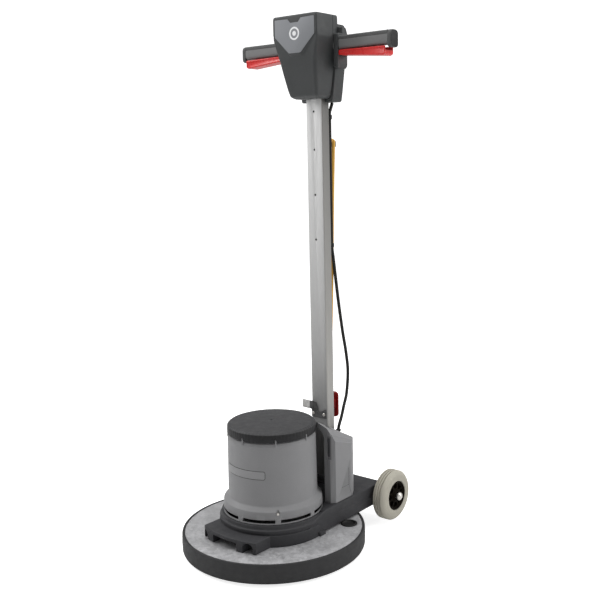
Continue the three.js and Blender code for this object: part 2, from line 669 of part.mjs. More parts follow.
// ---- Pole and the fittings on it -----------------------------------------------------------------------
function poleTube() {
  const half = POLE_WIDTH / 2;
  const outer = roundedRectangle(-half, half, POLE_FRONT, POLE_BACK, 4);
  const inner = roundedRectangle(
    POLE_WALL - half, half - POLE_WALL, POLE_FRONT + POLE_WALL, POLE_BACK - POLE_WALL, 2);
  outer.holes.push(new THREE.Path(inner.getPoints(2).reverse()));
  const holes = POLE_HOLE_HEIGHTS.map((z) => rodY(2.5, POLE_FRONT - 5, POLE_FRONT + 5, 0, z, 10));
  return cut(
    upright(outer, POLE_BOTTOM, POLE_TOP, 2), ...holes,
    rodX(PIVOT.radius + GAP, -60, 60, PIVOT.y, PIVOT.z));
}

function accessoryBracket() {
  const plate = outline([
    [-23, 268], [23, 268], [24, 293], [2, 284], [-1, 312], [-47, 311], [-47, 289], [-23, 288],
  ]);
  const thickness = 2;
  const screwHoles = BRACKET_SCREWS.map((x) => rodY(2.3, POLE_FRONT - 5, POLE_FRONT + 1, x, BRACKET_SCREW_Z, 8));
  return cut(alongY(plate, POLE_FRONT - GAP - thickness, POLE_FRONT - GAP), ...screwHoles);
}

function bracketScrew(x) {
  const face = POLE_FRONT - GAP - 2;
  return joined(
    rodY(4, face - 2.5, face - GAP, x, BRACKET_SCREW_Z, 14),
    rodY(2, face - 1, POLE_FRONT - 0.1, x, BRACKET_SCREW_Z, 10));
}

function upperCableHook() {
  const back = POLE_BACK + GAP;
  return joined(
    box(-12, 12, back, back + 4, 925, 962), box(-7, 7, back + 3, 250, 938, 947),
    box(-14, 14, 246, 252, 936, 949));
}

// The lower hook turns on a boss, so that the wound lead can be let off it.
function lowerCableHook() {
  const boss = rodY(9, POLE_BACK + GAP, POLE_BACK + 6, 0, LOWER_HOOK.z, 20);
  const lip = roundedRectangle(-11, 11, LOWER_HOOK.z - 35, LOWER_HOOK.z + 30, 9);
  const arm = box(-8, 8, POLE_BACK + 5, LOWER_HOOK.outer - 5, LOWER_HOOK.z - 8, LOWER_HOOK.z + 8);
  return joined(boss, arm, alongY(lip, LOWER_HOOK.outer - 7, LOWER_HOOK.outer, 4));
}

function leadClip(z, leadY) {
  const back = POLE_BACK + GAP;
  const band = ring(LEAD_RADIUS + 2 * GAP, LEAD_RADIUS + 2.6, z - 5, z + 5, 16).translate([LEAD_X, leadY, 0]);
  const foot = box(LEAD_X - 14, LEAD_X - 3, back, back + 2, z - 5, z + 5);
  const link = box(LEAD_X - 7, LEAD_X - LEAD_RADIUS - 0.8, back + 1, leadY + 1, z - 5, z + 5);
  return joined(band, foot, link);
}

function motorLeadUpper() {
  return lead([
    [LEAD_X, LEAD_Y + 11, BOX_FOOT - 1.6], [LEAD_X, LEAD_Y + 5, 1029], [LEAD_X, LEAD_Y, 1018],
    [LEAD_X, LEAD_Y, UPPER_CLIP_Z - 6], [LEAD_X, LEAD_Y, 850], [LEAD_X, LEAD_Y, LOWER_CLIP_Z + 2],
  ], LEAD_RADIUS, 2);
}

// The loose length bows out behind the pole, so that the handle can tilt.
function motorLeadLower() {
  const roof = coverRoof(GLAND.y);
  return lead([
    [LEAD_X, LEAD_Y, LOWER_CLIP_Z - GAP], [LEAD_X, 221, 660], [LEAD_X + 1, 236, 558], [LEAD_X + 2, 250, 478],
    [LEAD_X + 3, 262, 420], [LEAD_X + 4, 267, 370], [LEAD_X + 7, 256.5, 318], [LEAD_X + 10.7, 239.7, 290],
    [LEAD_X + 14, 224.7, 265], [GLAND.x - 0.7, 212, 250], [GLAND.x, GLAND.y, roof + 12],
  ], LEAD_RADIUS, 3);
}

// The wound supply lead hangs as a narrow loop from the upper hook.
function supplyLead() {
  return lead([
    [-11, 226, BOX_FOOT - 1], [-11, 230, 1000], [-11, 236, 962], [-8, 240, 953], [2, 240, 953], [11, 239, 950],
    [13, 236, 935], [12, 230, 800], [10, 224, 600], [8, 217, 440], [4, 215, 412], [0, 215, 406],
    [-4, 215, 412], [-8, 217, 440], [-10, 224, 600], [-12, 230, 800], [-12, 234, 900],
  ], SUPPLY_RADIUS, 3);
}

piece(handle, 'pole_tube', poleTube(), 'poleMetal');
piece(handle, 'accessory_bracket', accessoryBracket(), 'galvanised');
BRACKET_SCREWS.forEach((x, i) => piece(handle, `bracket_screw_${i + 1}`, bracketScrew(x), 'steel'));
piece(handle, 'cable_hook_upper', upperCableHook(), 'blackPlastic');
piece(handle, 'cable_hook_lower', lowerCableHook(), 'darkRed');
piece(handle, 'lead_clip_upper', leadClip(UPPER_CLIP_Z, LEAD_Y), 'blackPlastic');
piece(handle, 'lead_clip_lower', leadClip(LOWER_CLIP_Z + 7, LEAD_Y), 'blackPlastic');
piece(handle, 'motor_lead_upper', motorLeadUpper(), 'blackPlastic');
piece(handle, 'motor_lead_lower', motorLeadLower(), 'blackPlastic');
piece(handle, 'supply_lead', supplyLead(), 'yellow');

// ---- Control box --------------------------------------------------------------------------------------------
// Front view: straight sides at the top, tapering to a narrow rounded foot.
function boxFrontOutline(inset) {
  const taper = [
    [67, 1189], [56, 1135], [45.5, 1068], [42, 1056], [35, BOX_BOTTOM],
  ].map(([x, z]) => [x - inset, z + (z === BOX_BOTTOM ? inset : 0)]);
  const right = [[59 - inset, BOX_TOP - inset], [67 - inset, BOX_TOP - 8], ...taper];
  return outline(mirrored(right).reverse());
}

// Side view: upright front at the top, sloping back below.
function boxSideOutline(inset) {
  return outline([
    [BOX_SPLIT + (inset > 0 ? 1 : 0), BOX_BOTTOM + inset], [146, BOX_BOTTOM + inset],
    [139 + inset, BOX_BOTTOM + 6], [135 + inset, 1068], [119 + inset, 1135], [BOX_FRONT + inset, 1150],
    [BOX_FRONT + inset, BOX_TOP - 5], [BOX_FRONT + inset + 5, BOX_TOP - inset],
    [BOX_SPLIT + (inset > 0 ? 1 : 0), BOX_TOP - inset],
  ].reverse());
}

function frontShellBlank(inset) {
  return alongX(boxSideOutline(inset), -80, 80).intersect(alongY(boxFrontOutline(inset), 100, 200));
}

function poleRoom() {
  const half = POLE_WIDTH / 2 + 0.5;
  return box(-half, half, POLE_FRONT - 0.5, POLE_BACK + 0.5, 1000, POLE_TOP + 2);
}

function gripRoom(extra) {
  const { y, z, depth, height } = GRIP;
  const section = roundedRectangle(
    y - depth / 2 - extra, y + depth / 2 + extra, z - height / 2 - extra, z + height / 2 + extra, 9 + extra);
  return alongX(section, -90, 90, 4);
}

function controlBoxFront() {
  return cut(frontShellBlank(0), frontShellBlank(BOX_WALL), poleRoom(), gripRoom(0.5));
}

function rearShellBlank(inset) {
  const side = outline([
    [BOX_SPLIT + GAP - (inset > 0 ? 2 : 0), BOX_FOOT + inset], [BOX_REAR - inset, BOX_FOOT + inset],
    [BOX_REAR + 1 - inset, 1060], [BOX_REAR - inset, 1120], [BOX_REAR - 3 - inset, 1200],
    [BOX_REAR - 12 - inset, 1216 - inset], [BOX_SPLIT + GAP - (inset > 0 ? 2 : 0), 1222 - inset],
  ]);
  const right = [
    [64 - inset, 1224], [66.5 - inset, 1189], [58 - inset, 1118], [50 - inset, 1060],
    [47 - inset, BOX_FOOT + inset],
  ];
  return alongX(side, -80, 80).intersect(alongY(outline(mirrored(right).reverse()), 180, 240));
}

// A raised socket on each side of the box holds the root of the grip and wraps round the side
// of the front shell. A slot in it takes the lever's tongue, and the lever's pin turns in its walls.
function gripSocket(side) {
  const inward = outline([
    [BOX_SPLIT + GAP, 1128], [203, 1117], [209, 1125], [210, 1198], [205, 1211], [BOX_SPLIT + GAP, 1214],
  ]);
  const wrapped = outline([
    [172.5, 1121], [180, 1117], [203, 1117], [209, 1125], [210, 1198], [205, 1211],
    [BOX_SPLIT + GAP, 1214], [BOX_SPLIT + GAP, 1198], [174.2, 1198],
  ]);
  const { x, z, radius, halfWidth, pin } = LEVER_HINGE;
  const slotHalf = halfWidth + 0.6;
  const slot = box(x - radius - 0.8, 100, GRIP.y - slotHalf, GRIP.y + slotHalf, z - radius - 1.4, GRIP.z);
  const pinHoles = rodY(pin + GAP, GRIP.y - slotHalf - 3 - GAP, GRIP.y + slotHalf + 3 + GAP, x, z, 16);
  const socket = cut(
    joined(alongX(inward, 48, 70), alongX(wrapped, SOCKET_START, SOCKET_END)), slot, pinHoles);
  return side > 0 ? socket : socket.mirror([1, 0, 0]);
}

function controlBoxRear() {
  const buttonHole = rodY(BUTTON.radius + GAP, 215, 245, BUTTON.x, BUTTON.z, 20);
  const shell = cut(rearShellBlank(0), rearShellBlank(BOX_WALL));
  return cut(joined(shell, gripSocket(1), gripSocket(-1)), poleRoom(), gripRoom(0.5), buttonHole);
}

function lockButton() {
  return joined(
    rodY(BUTTON.radius, 220, BOX_REAR + 5, BUTTON.x, BUTTON.z, 20),
    rodY(BUTTON.radius + 3, 222, 225, BUTTON.x, BUTTON.z, 20));
}

function boxLabel() {
  const face = BOX_FRONT - GAP;
  const shape = outline([
    [-60, 1234], [-60, 1192], [-17, 1152], [17, 1152], [60, 1192], [60, 1234],
    [20, 1233], [13, 1222], [-13, 1222], [-20, 1233],
  ]);
  return alongY(shape, face - 0.8, face);
}

function grip(side) {
  const { y, z, depth, height, end, radius } = GRIP;
  const section = roundedRectangle(y - depth / 2, y + depth / 2, z - height / 2, z + height / 2, radius);
  const capSection = roundedRectangle(
    y - depth / 2 - 1, y + depth / 2 + 1, z - height / 2 - 7, z + height / 2 + 0.5, radius);
  const body = joined(alongX(section, GRIP.root - 20, end - 10, 3), alongX(capSection, end - 11, end, 3));
  const bore = rodX(BAR_RADIUS + GAP, 40, end - 8, y, z, 16);
  const handed = cut(body, bore);
  return side > 0 ? handed : handed.mirror([1, 0, 0]);
}

function handleBar() {
  const reach = GRIP.end - 10;
  return rodX(BAR_RADIUS, -reach, reach, GRIP.y, GRIP.z, 20);
}

// A channel, open at the top, that rises round the underside of the grip when it is squeezed.
// The tongue at its root carries the hinge pin.
function gripLever(side) {
  const { root, end } = LEVER;
  const { x, z, radius, halfWidth, pin } = LEVER_HINGE;
  const outerHalf = GRIP.depth / 2 + 3.5;
  const innerHalf = GRIP.depth / 2 + 1;
  const profile = outline([
    [root, 1147], [end - 6, 1136.5], [end, 1140], [end, 1157], [root, 1158.5],
  ]);
  const channel = outline([
    [root + 3, 1151.5], [end - 10, 1140], [end + 1, 1148.5], [end + 1, 1162], [root + 3, 1162],
  ]);
  const lever = joined(
    cut(alongY(profile, GRIP.y - outerHalf, GRIP.y + outerHalf),
      alongY(channel, GRIP.y - innerHalf, GRIP.y + innerHalf)),
    box(x, root + 1, GRIP.y - halfWidth, GRIP.y + halfWidth, z - radius, z + radius),
    rodY(radius, GRIP.y - halfWidth, GRIP.y + halfWidth, x, z, 20),
    rodY(pin, GRIP.y - halfWidth - 3.6, GRIP.y + halfWidth + 3.6, x, z, 16));
  return side > 0 ? lever : lever.mirror([1, 0, 0]);
}

piece(handle, 'control_box_front', controlBoxFront(), 'darkPlastic');
piece(handle, 'control_box_rear', controlBoxRear(), 'darkPlastic');
piece(handle, 'box_label', boxLabel(), 'label');
piece(handle, 'lock_button', lockButton(), 'yellow');
piece(handle, 'power_switch', box(-16, 16, 124, 160, 1160, 1200), 'blackPlastic');
piece(handle, 'handle_bar', handleBar(), 'steel');
for (const [name, side] of [['left', -1], ['right', 1]]) {
  piece(handle, `grip_${name}`, grip(side), 'darkPlastic');
  piece(handle, `lever_${name}`, gripLever(side), 'red');
}

export default machine;
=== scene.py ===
import math
import random
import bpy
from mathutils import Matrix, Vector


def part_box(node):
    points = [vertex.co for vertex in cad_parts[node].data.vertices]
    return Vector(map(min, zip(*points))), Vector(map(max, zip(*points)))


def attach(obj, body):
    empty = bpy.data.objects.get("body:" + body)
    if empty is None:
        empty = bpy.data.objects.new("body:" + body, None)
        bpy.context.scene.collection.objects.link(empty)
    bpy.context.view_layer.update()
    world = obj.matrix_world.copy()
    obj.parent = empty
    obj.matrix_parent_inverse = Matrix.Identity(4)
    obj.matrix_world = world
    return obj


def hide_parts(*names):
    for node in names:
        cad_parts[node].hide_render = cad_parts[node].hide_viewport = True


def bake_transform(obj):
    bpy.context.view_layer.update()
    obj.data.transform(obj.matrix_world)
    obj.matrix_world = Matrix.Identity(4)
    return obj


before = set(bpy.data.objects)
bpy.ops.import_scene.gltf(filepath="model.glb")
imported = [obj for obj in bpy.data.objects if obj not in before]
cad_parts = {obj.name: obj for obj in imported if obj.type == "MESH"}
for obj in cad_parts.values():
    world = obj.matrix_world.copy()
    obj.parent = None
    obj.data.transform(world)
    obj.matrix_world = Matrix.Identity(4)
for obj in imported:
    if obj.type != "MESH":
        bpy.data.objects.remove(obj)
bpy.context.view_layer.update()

from types import SimpleNamespace

import bmesh
import bpy
from mathutils import Matrix, Vector

# Shapes are written in millimetres and scaled to metres when their mesh is made.
MM = 0.001
TO_REAR = Matrix.Rotation(-math.pi / 2, 4, "X")    # turns a lathed piece from Z to face along Y

# Shared measures, in millimetres.
PORT_HOLE = 17                           # radius of the port in the deck
AXLE_Y, AXLE_Z = 274.6, 73
PIVOT_Y, PIVOT_Z = 193, 132              # the pin that the pole tilts about
PIN_BORE = 6.3
POLE_HOLES = (713, 821.5, 930, 1021)     # heights of the four small holes in the pole
HOOK_LEVEL = 291                         # height at which the red hook turns
BAR_Y, BAR_Z = 190, 1176                 # the bar inside both grips
HINGE_X, HINGE_Z = 75, 1154              # the hinge pin of each lever
HINGE_HALF = 10.6                        # half the length of that pin
LABEL_Z = 1198                           # height of the ring printed on the label


# ---- Outlines ---------------------------------------------------------------------------------
def span(node):
    """The limits and the centre of a CAD node, in millimetres."""
    low, high = (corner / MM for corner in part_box(node))
    return SimpleNamespace(x0=low.x, x1=high.x, y0=low.y, y1=high.y, z0=low.z, z1=high.z,
                           x=(low.x + high.x) / 2, y=(low.y + high.y) / 2, z=(low.z + high.z) / 2)


def rounded(points, radius=0.0, steps=5):
    """A closed outline with an arc at each corner. A point's third number is its own radius."""
    out = []
    for i, point in enumerate(points):
        corner = Vector(point[:2])
        size = point[2] if len(point) > 2 else radius
        before = Vector(points[i - 1][:2]) - corner
        after = Vector(points[(i + 1) % len(points)][:2]) - corner
        angle = before.angle(after)
        if size <= 0 or angle > math.radians(177):
            out.append(tuple(corner))
            continue
        half = math.tan(angle / 2)
        reach = min(size / half, 0.48 * before.length, 0.48 * after.length)
        middle = (before.normalized() + after.normalized()).normalized()
        centre = corner + middle * reach * half / math.sin(angle / 2)
        first = corner + before.normalized() * reach - centre
        last = corner + after.normalized() * reach - centre
        sweep = first.angle(last)
        for k in range(steps + 1):
            share = k / steps
            arm = first * math.sin((1 - share) * sweep) + last * math.sin(share * sweep)
            out.append(tuple(centre + arm / math.sin(sweep)))
    return out


def rectangle(u0, u1, v0, v1, radius=0.0, steps=5):
    return rounded([(u0, v0), (u1, v0), (u1, v1), (u0, v1)], radius, steps)


def inset(shape, depth):
    """The outline moved inwards by depth."""
    if not depth:
        return list(shape)
    count = len(shape)
    area = sum(a[0] * b[1] - b[0] * a[1] for a, b in zip(shape, shape[1:] + shape[:1]))
    side = 1 if area > 0 else -1
    out = []
    for i, point in enumerate(shape):
        before = (Vector(point) - Vector(shape[i - 1])).normalized()
        after = (Vector(shape[(i + 1) % count]) - Vector(point)).normalized()
        normal = side * Vector((-before.y - after.y, before.x + after.x)).normalized()
        share = max(0.4, normal.dot(side * Vector((-before.y, before.x))))
        out.append(tuple(Vector(point) + normal * depth / share))
    return out


def between(table, at):
    """Straight-line reading of a table of (key, value) pairs in rising order of key."""
    if at <= table[0][0]:
        return table[0][1]
    for (low, a), (high, b) in zip(table, table[1:]):
        if at <= high:
            return a + (b - a) * (at - low) / (high - low)
    return table[-1][1]


def smooth_step(share):
    share = min(1.0, max(0.0, share))
    return share * share * (3 - 2 * share)


# ---- Meshes -----------------------------------------------------------------------------------
def edit(piece, change):
    mesh = bmesh.new()
    mesh.from_mesh(piece.data)
    change(mesh)
    mesh.to_mesh(piece.data)
    mesh.free()
    piece.data.update()
    return piece


def new_object(name, mesh):
    piece = bpy.data.objects.new(name, mesh)
    bpy.context.scene.collection.objects.link(piece)
    return piece


def make(name, vertices, faces):
    mesh = bpy.data.meshes.new(name)
    mesh.from_pydata([[value * MM for value in vertex] for vertex in vertices], [], faces)
    piece = new_object(name, mesh)
    return edit(piece, lambda m: bmesh.ops.recalc_face_normals(m, faces=m.faces))


def lathe(name, profile, segments=144, ring=True):
    """Turns a profile of (radius, height) about Z. Without ring it starts and ends on the axis."""
    vertices, rows, faces = [], [], []
    for radius, height in profile:
        count = 1 if radius < 1e-6 else segments
        rows.append([len(vertices) + k for k in range(count)])
        for k in range(count):
            turn = 2 * math.pi * k / segments
            vertices.append((radius * math.cos(turn), radius * math.sin(turn), height))
    for low, high in zip(rows, rows[1:] + (rows[:1] if ring else [])):
        for k in range(segments):
            corners = (low[k % len(low)], low[(k + 1) % len(low)],
                       high[(k + 1) % len(high)], high[k % len(high)])
            face = list(dict.fromkeys(corners))
            if len(face) > 2:
                faces.append(face)
    return make(name, vertices, faces)


def loft(name, loops):
    """A closed skin through loops that have equally many points, with flat ends."""
    count = len(loops[0])
    vertices = [point for loop in loops for point in loop]
    faces = [list(range(count)), [(len(loops) - 1) * count + k for k in range(count)]]
    for row in range(len(loops) - 1):
        for k in range(count):
            a = row * count + k
            b = row * count + (k + 1) % count
            faces.append([a, b, b + count, a + count])
    return make(name, vertices, faces)


def stand(axis, level, point):
    u, v = point
    return {"x": (level, u, v), "y": (u, level, v), "z": (u, v, level)}[axis]


def prism(name, shape, axis, low, high, edge=0.0, steps=3):
    """A shape drawn across an axis, run from low to high along it, with its ends rounded over."""
    levels = [(low, 0.0), (high, 0.0)]
    if edge:
        turns = [k / steps * math.pi / 2 for k in range(steps + 1)]
        drops = [(edge * (1 - math.cos(turn)), edge * (1 - math.sin(turn))) for turn in turns]
        levels = [(low + rise, depth) for rise, depth in drops]
        levels += [(high - rise, depth) for rise, depth in reversed(drops)]
    loops = [[stand(axis, level, point) for point in inset(shape, depth)] for level, depth in levels]
    return loft(name, loops)


def block(name, x0, x1, y0, y1, z0, z1):
    return prism(name, rectangle(x0, x1, y0, y1), "z", z0, z1)


def rod(name, axis, radius, low, high, u, v, segments=32, edge=0.0):
    turns = [2 * math.pi * k / segments for k in range(segments)]
    circle = [(u + radius * math.cos(turn), v + radius * math.sin(turn)) for turn in turns]
    return prism(name, circle, axis, low, high, edge)


def curve_points(points, steps):
    """A smooth path through the points, with the same number of steps in each span."""
    path = [Vector(point) for point in points]
    padded = [2 * path[0] - path[1], *path, 2 * path[-1] - path[-2]]
    out = []
    for a, b, c, d in zip(padded, padded[1:], padded[2:], padded[3:]):
        for k in range(steps):
            t = k / steps
            out.append(0.5 * (2 * b + (c - a) * t + (2 * a - 5 * b + 4 * c - d) * t ** 2
                              + (3 * b - a - 3 * c + d) * t ** 3))
    return out + [path[-1]]


def tube(name, points, radius, sides=14, steps=8):
    path = curve_points(points, steps)
    side = Vector((1, 0, 0))
    loops = []
    for i, point in enumerate(path):
        ahead = (path[min(i + 1, len(path) - 1)] - path[max(i - 1, 0)]).normalized()
        side = (side - ahead * side.dot(ahead)).normalized()
        other = ahead.cross(side)
        turns = [2 * math.pi * k / sides for k in range(sides)]
        loops.append([point + radius * (math.cos(t) * side + math.sin(t) * other) for t in turns])
    return loft(name, loops)


def gathered(name, pieces):
    """Several meshes as one object."""
    whole = bmesh.new()
    for piece in pieces:
        whole.from_mesh(piece.data)
        bpy.data.objects.remove(piece)
    mesh = bpy.data.meshes.new(name)
    whole.to_mesh(mesh)
    whole.free()
    return new_object(name, mesh)


def boolean(piece, tool, operation="DIFFERENCE"):
    modifier = piece.modifiers.new("boolean", "BOOLEAN")
    modifier.operation = operation
    modifier.solver = "EXACT"
    modifier.object = tool
    ready = piece.evaluated_get(bpy.context.evaluated_depsgraph_get())
    mesh = bpy.data.meshes.new_from_object(ready)
    piece.modifiers.clear()
    piece.data = mesh
    bpy.data.objects.remove(tool)
    return piece


def add(piece, *tools):
    for tool in tools:
        boolean(piece, tool, "UNION")
    return piece


def cut(piece, *tools):
    for tool in tools:
        boolean(piece, tool)
    return piece


def soften(piece, width, segments=2, angle=38, where=lambda middle: True):
    """Rounds the edges that are sharper than the angle, where the test on their middle is true."""
    def change(mesh):
        bmesh.ops.remove_doubles(mesh, verts=mesh.verts, dist=2e-6)
        flat = math.radians(1)
        bmesh.ops.dissolve_limit(mesh, angle_limit=flat, verts=mesh.verts, edges=mesh.edges)
        limit = math.radians(angle)
        sharp = [edge for edge in mesh.edges if len(edge.link_faces) == 2
                 and edge.calc_face_angle(0) > limit
                 and where((edge.verts[0].co + edge.verts[1].co) / 2 / MM)]
        bmesh.ops.bevel(mesh, geom=sharp, offset=width * MM, offset_type="OFFSET", segments=segments,
                        profile=0.5, affect="EDGES", clamp_overlap=True)
    return edit(piece, change)


def moved(piece, matrix):
    piece.data.transform(matrix)
    return piece


def shifted(piece, x, y):
    return moved(piece, Matrix.Translation((x * MM, y * MM, 0)))


def spun(piece, degrees):
    return moved(piece, Matrix.Rotation(math.radians(degrees), 4, "Z"))


def mirrored(piece):
    """The piece on the other side of the machine."""
    piece.data.transform(Matrix.Scale(-1, 4, (1, 0, 0)))
    piece.data.flip_normals()
    return piece


def copy_of(node, name):
    """A CAD node's mesh as a new piece, with the flat faces it is made of."""
    piece = new_object(name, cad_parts[node].data.copy())
    piece.data.materials.clear()
    return piece


def weigh_normals(piece):
    """Lets the large faces set the shading, so that flat sides stay flat beside rounded edges."""
    modifier = piece.modifiers.new("weigh", "WEIGHTED_NORMAL")
    modifier.keep_sharp = True
    modifier.weight = 100
    ready = piece.evaluated_get(bpy.context.evaluated_depsgraph_get())
    mesh = bpy.data.meshes.new_from_object(ready)
    piece.modifiers.clear()
    piece.data = mesh


def place(piece, body, slot, paint, *nodes, angle=34):
    """Shades a piece, paints it and lets it ride on a body in place of its CAD nodes."""
    piece.data.polygons.foreach_set("use_smooth", [True] * len(piece.data.polygons))
    piece.data.set_sharp_from_angle(angle=math.radians(angle))
    piece.data.materials.clear()
    piece.data.materials.append(paint)
    if body:
        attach(piece, body)
    if nodes:
        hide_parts(*nodes)
    return piece


# ---- Materials --------------------------------------------------------------------------------
class Paint:
    """A small writer of shader nodes around one Principled shader."""

    def __init__(self, name):
        self.material = bpy.data.materials.new(name)
        self.material.use_nodes = True
        self.tree = self.material.node_tree
        self.shader = self.tree.nodes["Principled BSDF"]
        self.place = self.node("TexCoord").outputs["Object"]

    def node(self, kind, inputs=None, **settings):
        made = self.tree.nodes.new("ShaderNode" + kind)
        for key, value in settings.items():
            setattr(made, key, value)
        self.feed(made, inputs or {})
        return made

    def feed(self, target, inputs):
        for key, value in inputs.items():
            if isinstance(value, bpy.types.NodeSocket):
                self.tree.links.new(value, target.inputs[key])
            else:
                target.inputs[key].default_value = value

    def noise(self, scale, detail=3.0, stretch=(1, 1, 1)):
        place = self.node("Mapping", {"Vector": self.place, "Scale": stretch}).outputs["Vector"]
        made = self.node("TexNoise", {"Vector": place, "Scale": scale, "Detail": detail})
        return made.outputs["Fac"]

    def ranged(self, value, low, high, to_low, to_high):
        made = self.node("MapRange", {"Value": value, "From Min": low, "From Max": high,
                                      "To Min": to_low, "To Max": to_high})
        return made.outputs["Result"]

    def mixed(self, share, first, second, kind="MIX"):
        made = self.node("MixRGB", {"Fac": share, "Color1": first, "Color2": second}, blend_type=kind)
        return made.outputs["Color"]

    def bump(self, height, strength, distance):
        made = self.node("Bump", {"Height": height, "Strength": strength, "Distance": distance})
        return made.outputs["Normal"]


def grey(value):
    return (value, value, value, 1.0)


def tinted(colour, factor):
    return tuple(min(1.0, part * factor) for part in colour[:3]) + (1.0,)


def moulding(name, colour, rough, mottle=0.05, grain=0.25, grain_size=1.1, wear=0.3, metal=0.0,
             coat=0.0, shine=0.3):
    """Moulded plastic, rubber or cast metal: broad unevenness, fine grain and paler worn edges."""
    paint = Paint(name)
    broad = paint.noise(14, 4)
    middle = paint.noise(70, 3)
    fine = paint.noise(1 / (grain_size * MM), 2)
    tone = paint.ranged(broad, 0.3, 0.7, 1 - mottle, 1 + mottle)
    speck = paint.ranged(fine, 0.35, 0.65, 1 - mottle, 1 + mottle)
    base = paint.mixed(1.0, paint.mixed(1.0, (*colour, 1.0), tone, "MULTIPLY"), speck, "MULTIPLY")
    edge = paint.node("NewGeometry").outputs["Pointiness"]
    worn = paint.ranged(edge, 0.53, 0.62, 0.0, wear)
    base = paint.mixed(worn, base, tinted(colour, 1.9))
    paint.feed(paint.shader, {
        "Base Color": base,
        "Metallic": metal,
        "Roughness": paint.ranged(middle, 0.3, 0.7, rough - 0.07, rough + 0.07),
        "Specular IOR Level": shine,
        "Coat Weight": coat,
        "Coat Roughness": 0.25,
        "Normal": paint.bump(fine, grain, 0.25 * MM),
    })
    return paint.material


def galvanised(name, colour, rough=0.42, metal=0.35):
    """Zinc-coated sheet: pale flakes of crystal, cloudy patches and a few dark specks."""
    paint = Paint(name)
    flakes = paint.node("TexVoronoi", {"Vector": paint.place, "Scale": 150.0}).outputs["Color"]
    flake = paint.node("SeparateColor", {"Color": flakes}).outputs["Red"]
    cloud = paint.noise(22, 6)
    speck = paint.noise(420, 2)
    tone = paint.ranged(flake, 0.0, 1.0, 0.86, 1.12)
    patch = paint.ranged(cloud, 0.3, 0.7, 0.84, 1.14)
    dirt = paint.ranged(speck, 0.60, 0.72, 1.0, 0.62)
    base = (*colour, 1.0)
    for factor in (tone, patch, dirt):
        base = paint.mixed(1.0, base, factor, "MULTIPLY")
    paint.feed(paint.shader, {
        "Base Color": base,
        "Metallic": metal,
        "Roughness": paint.ranged(flake, 0.0, 1.0, rough - 0.08, rough + 0.12),
        "Normal": paint.bump(speck, 0.2, 0.2 * MM),
    })
    return paint.material


def drawn_metal(name, colour, rough, metal, axis, low=None, high=None, foot=1.0):
    """Metal with fine lines along one axis. Its tone may change from high to low along Z: a painted shade
    gradient.
    """
    paint = Paint(name)
    stretch = {"x": (0.03, 1, 1), "y": (1, 0.03, 1), "z": (1, 1, 0.03)}[axis]
    lines = paint.noise(1400, 2, stretch)
    broad = paint.noise(9, 3, stretch)
    base = paint.mixed(1.0, (*colour, 1.0), paint.ranged(lines, 0.3, 0.7, 0.94, 1.05), "MULTIPLY")
    base = paint.mixed(1.0, base, paint.ranged(broad, 0.3, 0.7, 0.95, 1.04), "MULTIPLY")
    if low is not None:
        height = paint.node("SeparateXYZ", {"Vector": paint.place}).outputs["Z"]
        base = paint.mixed(1.0, base, paint.ranged(height, low, high, foot, 1.0), "MULTIPLY")
    paint.feed(paint.shader, {
        "Base Color": base,
        "Metallic": metal,
        "Roughness": paint.ranged(lines, 0.3, 0.7, rough - 0.06, rough + 0.08),
        "Normal": paint.bump(lines, 0.12, 0.1 * MM),
    })
    return paint.material


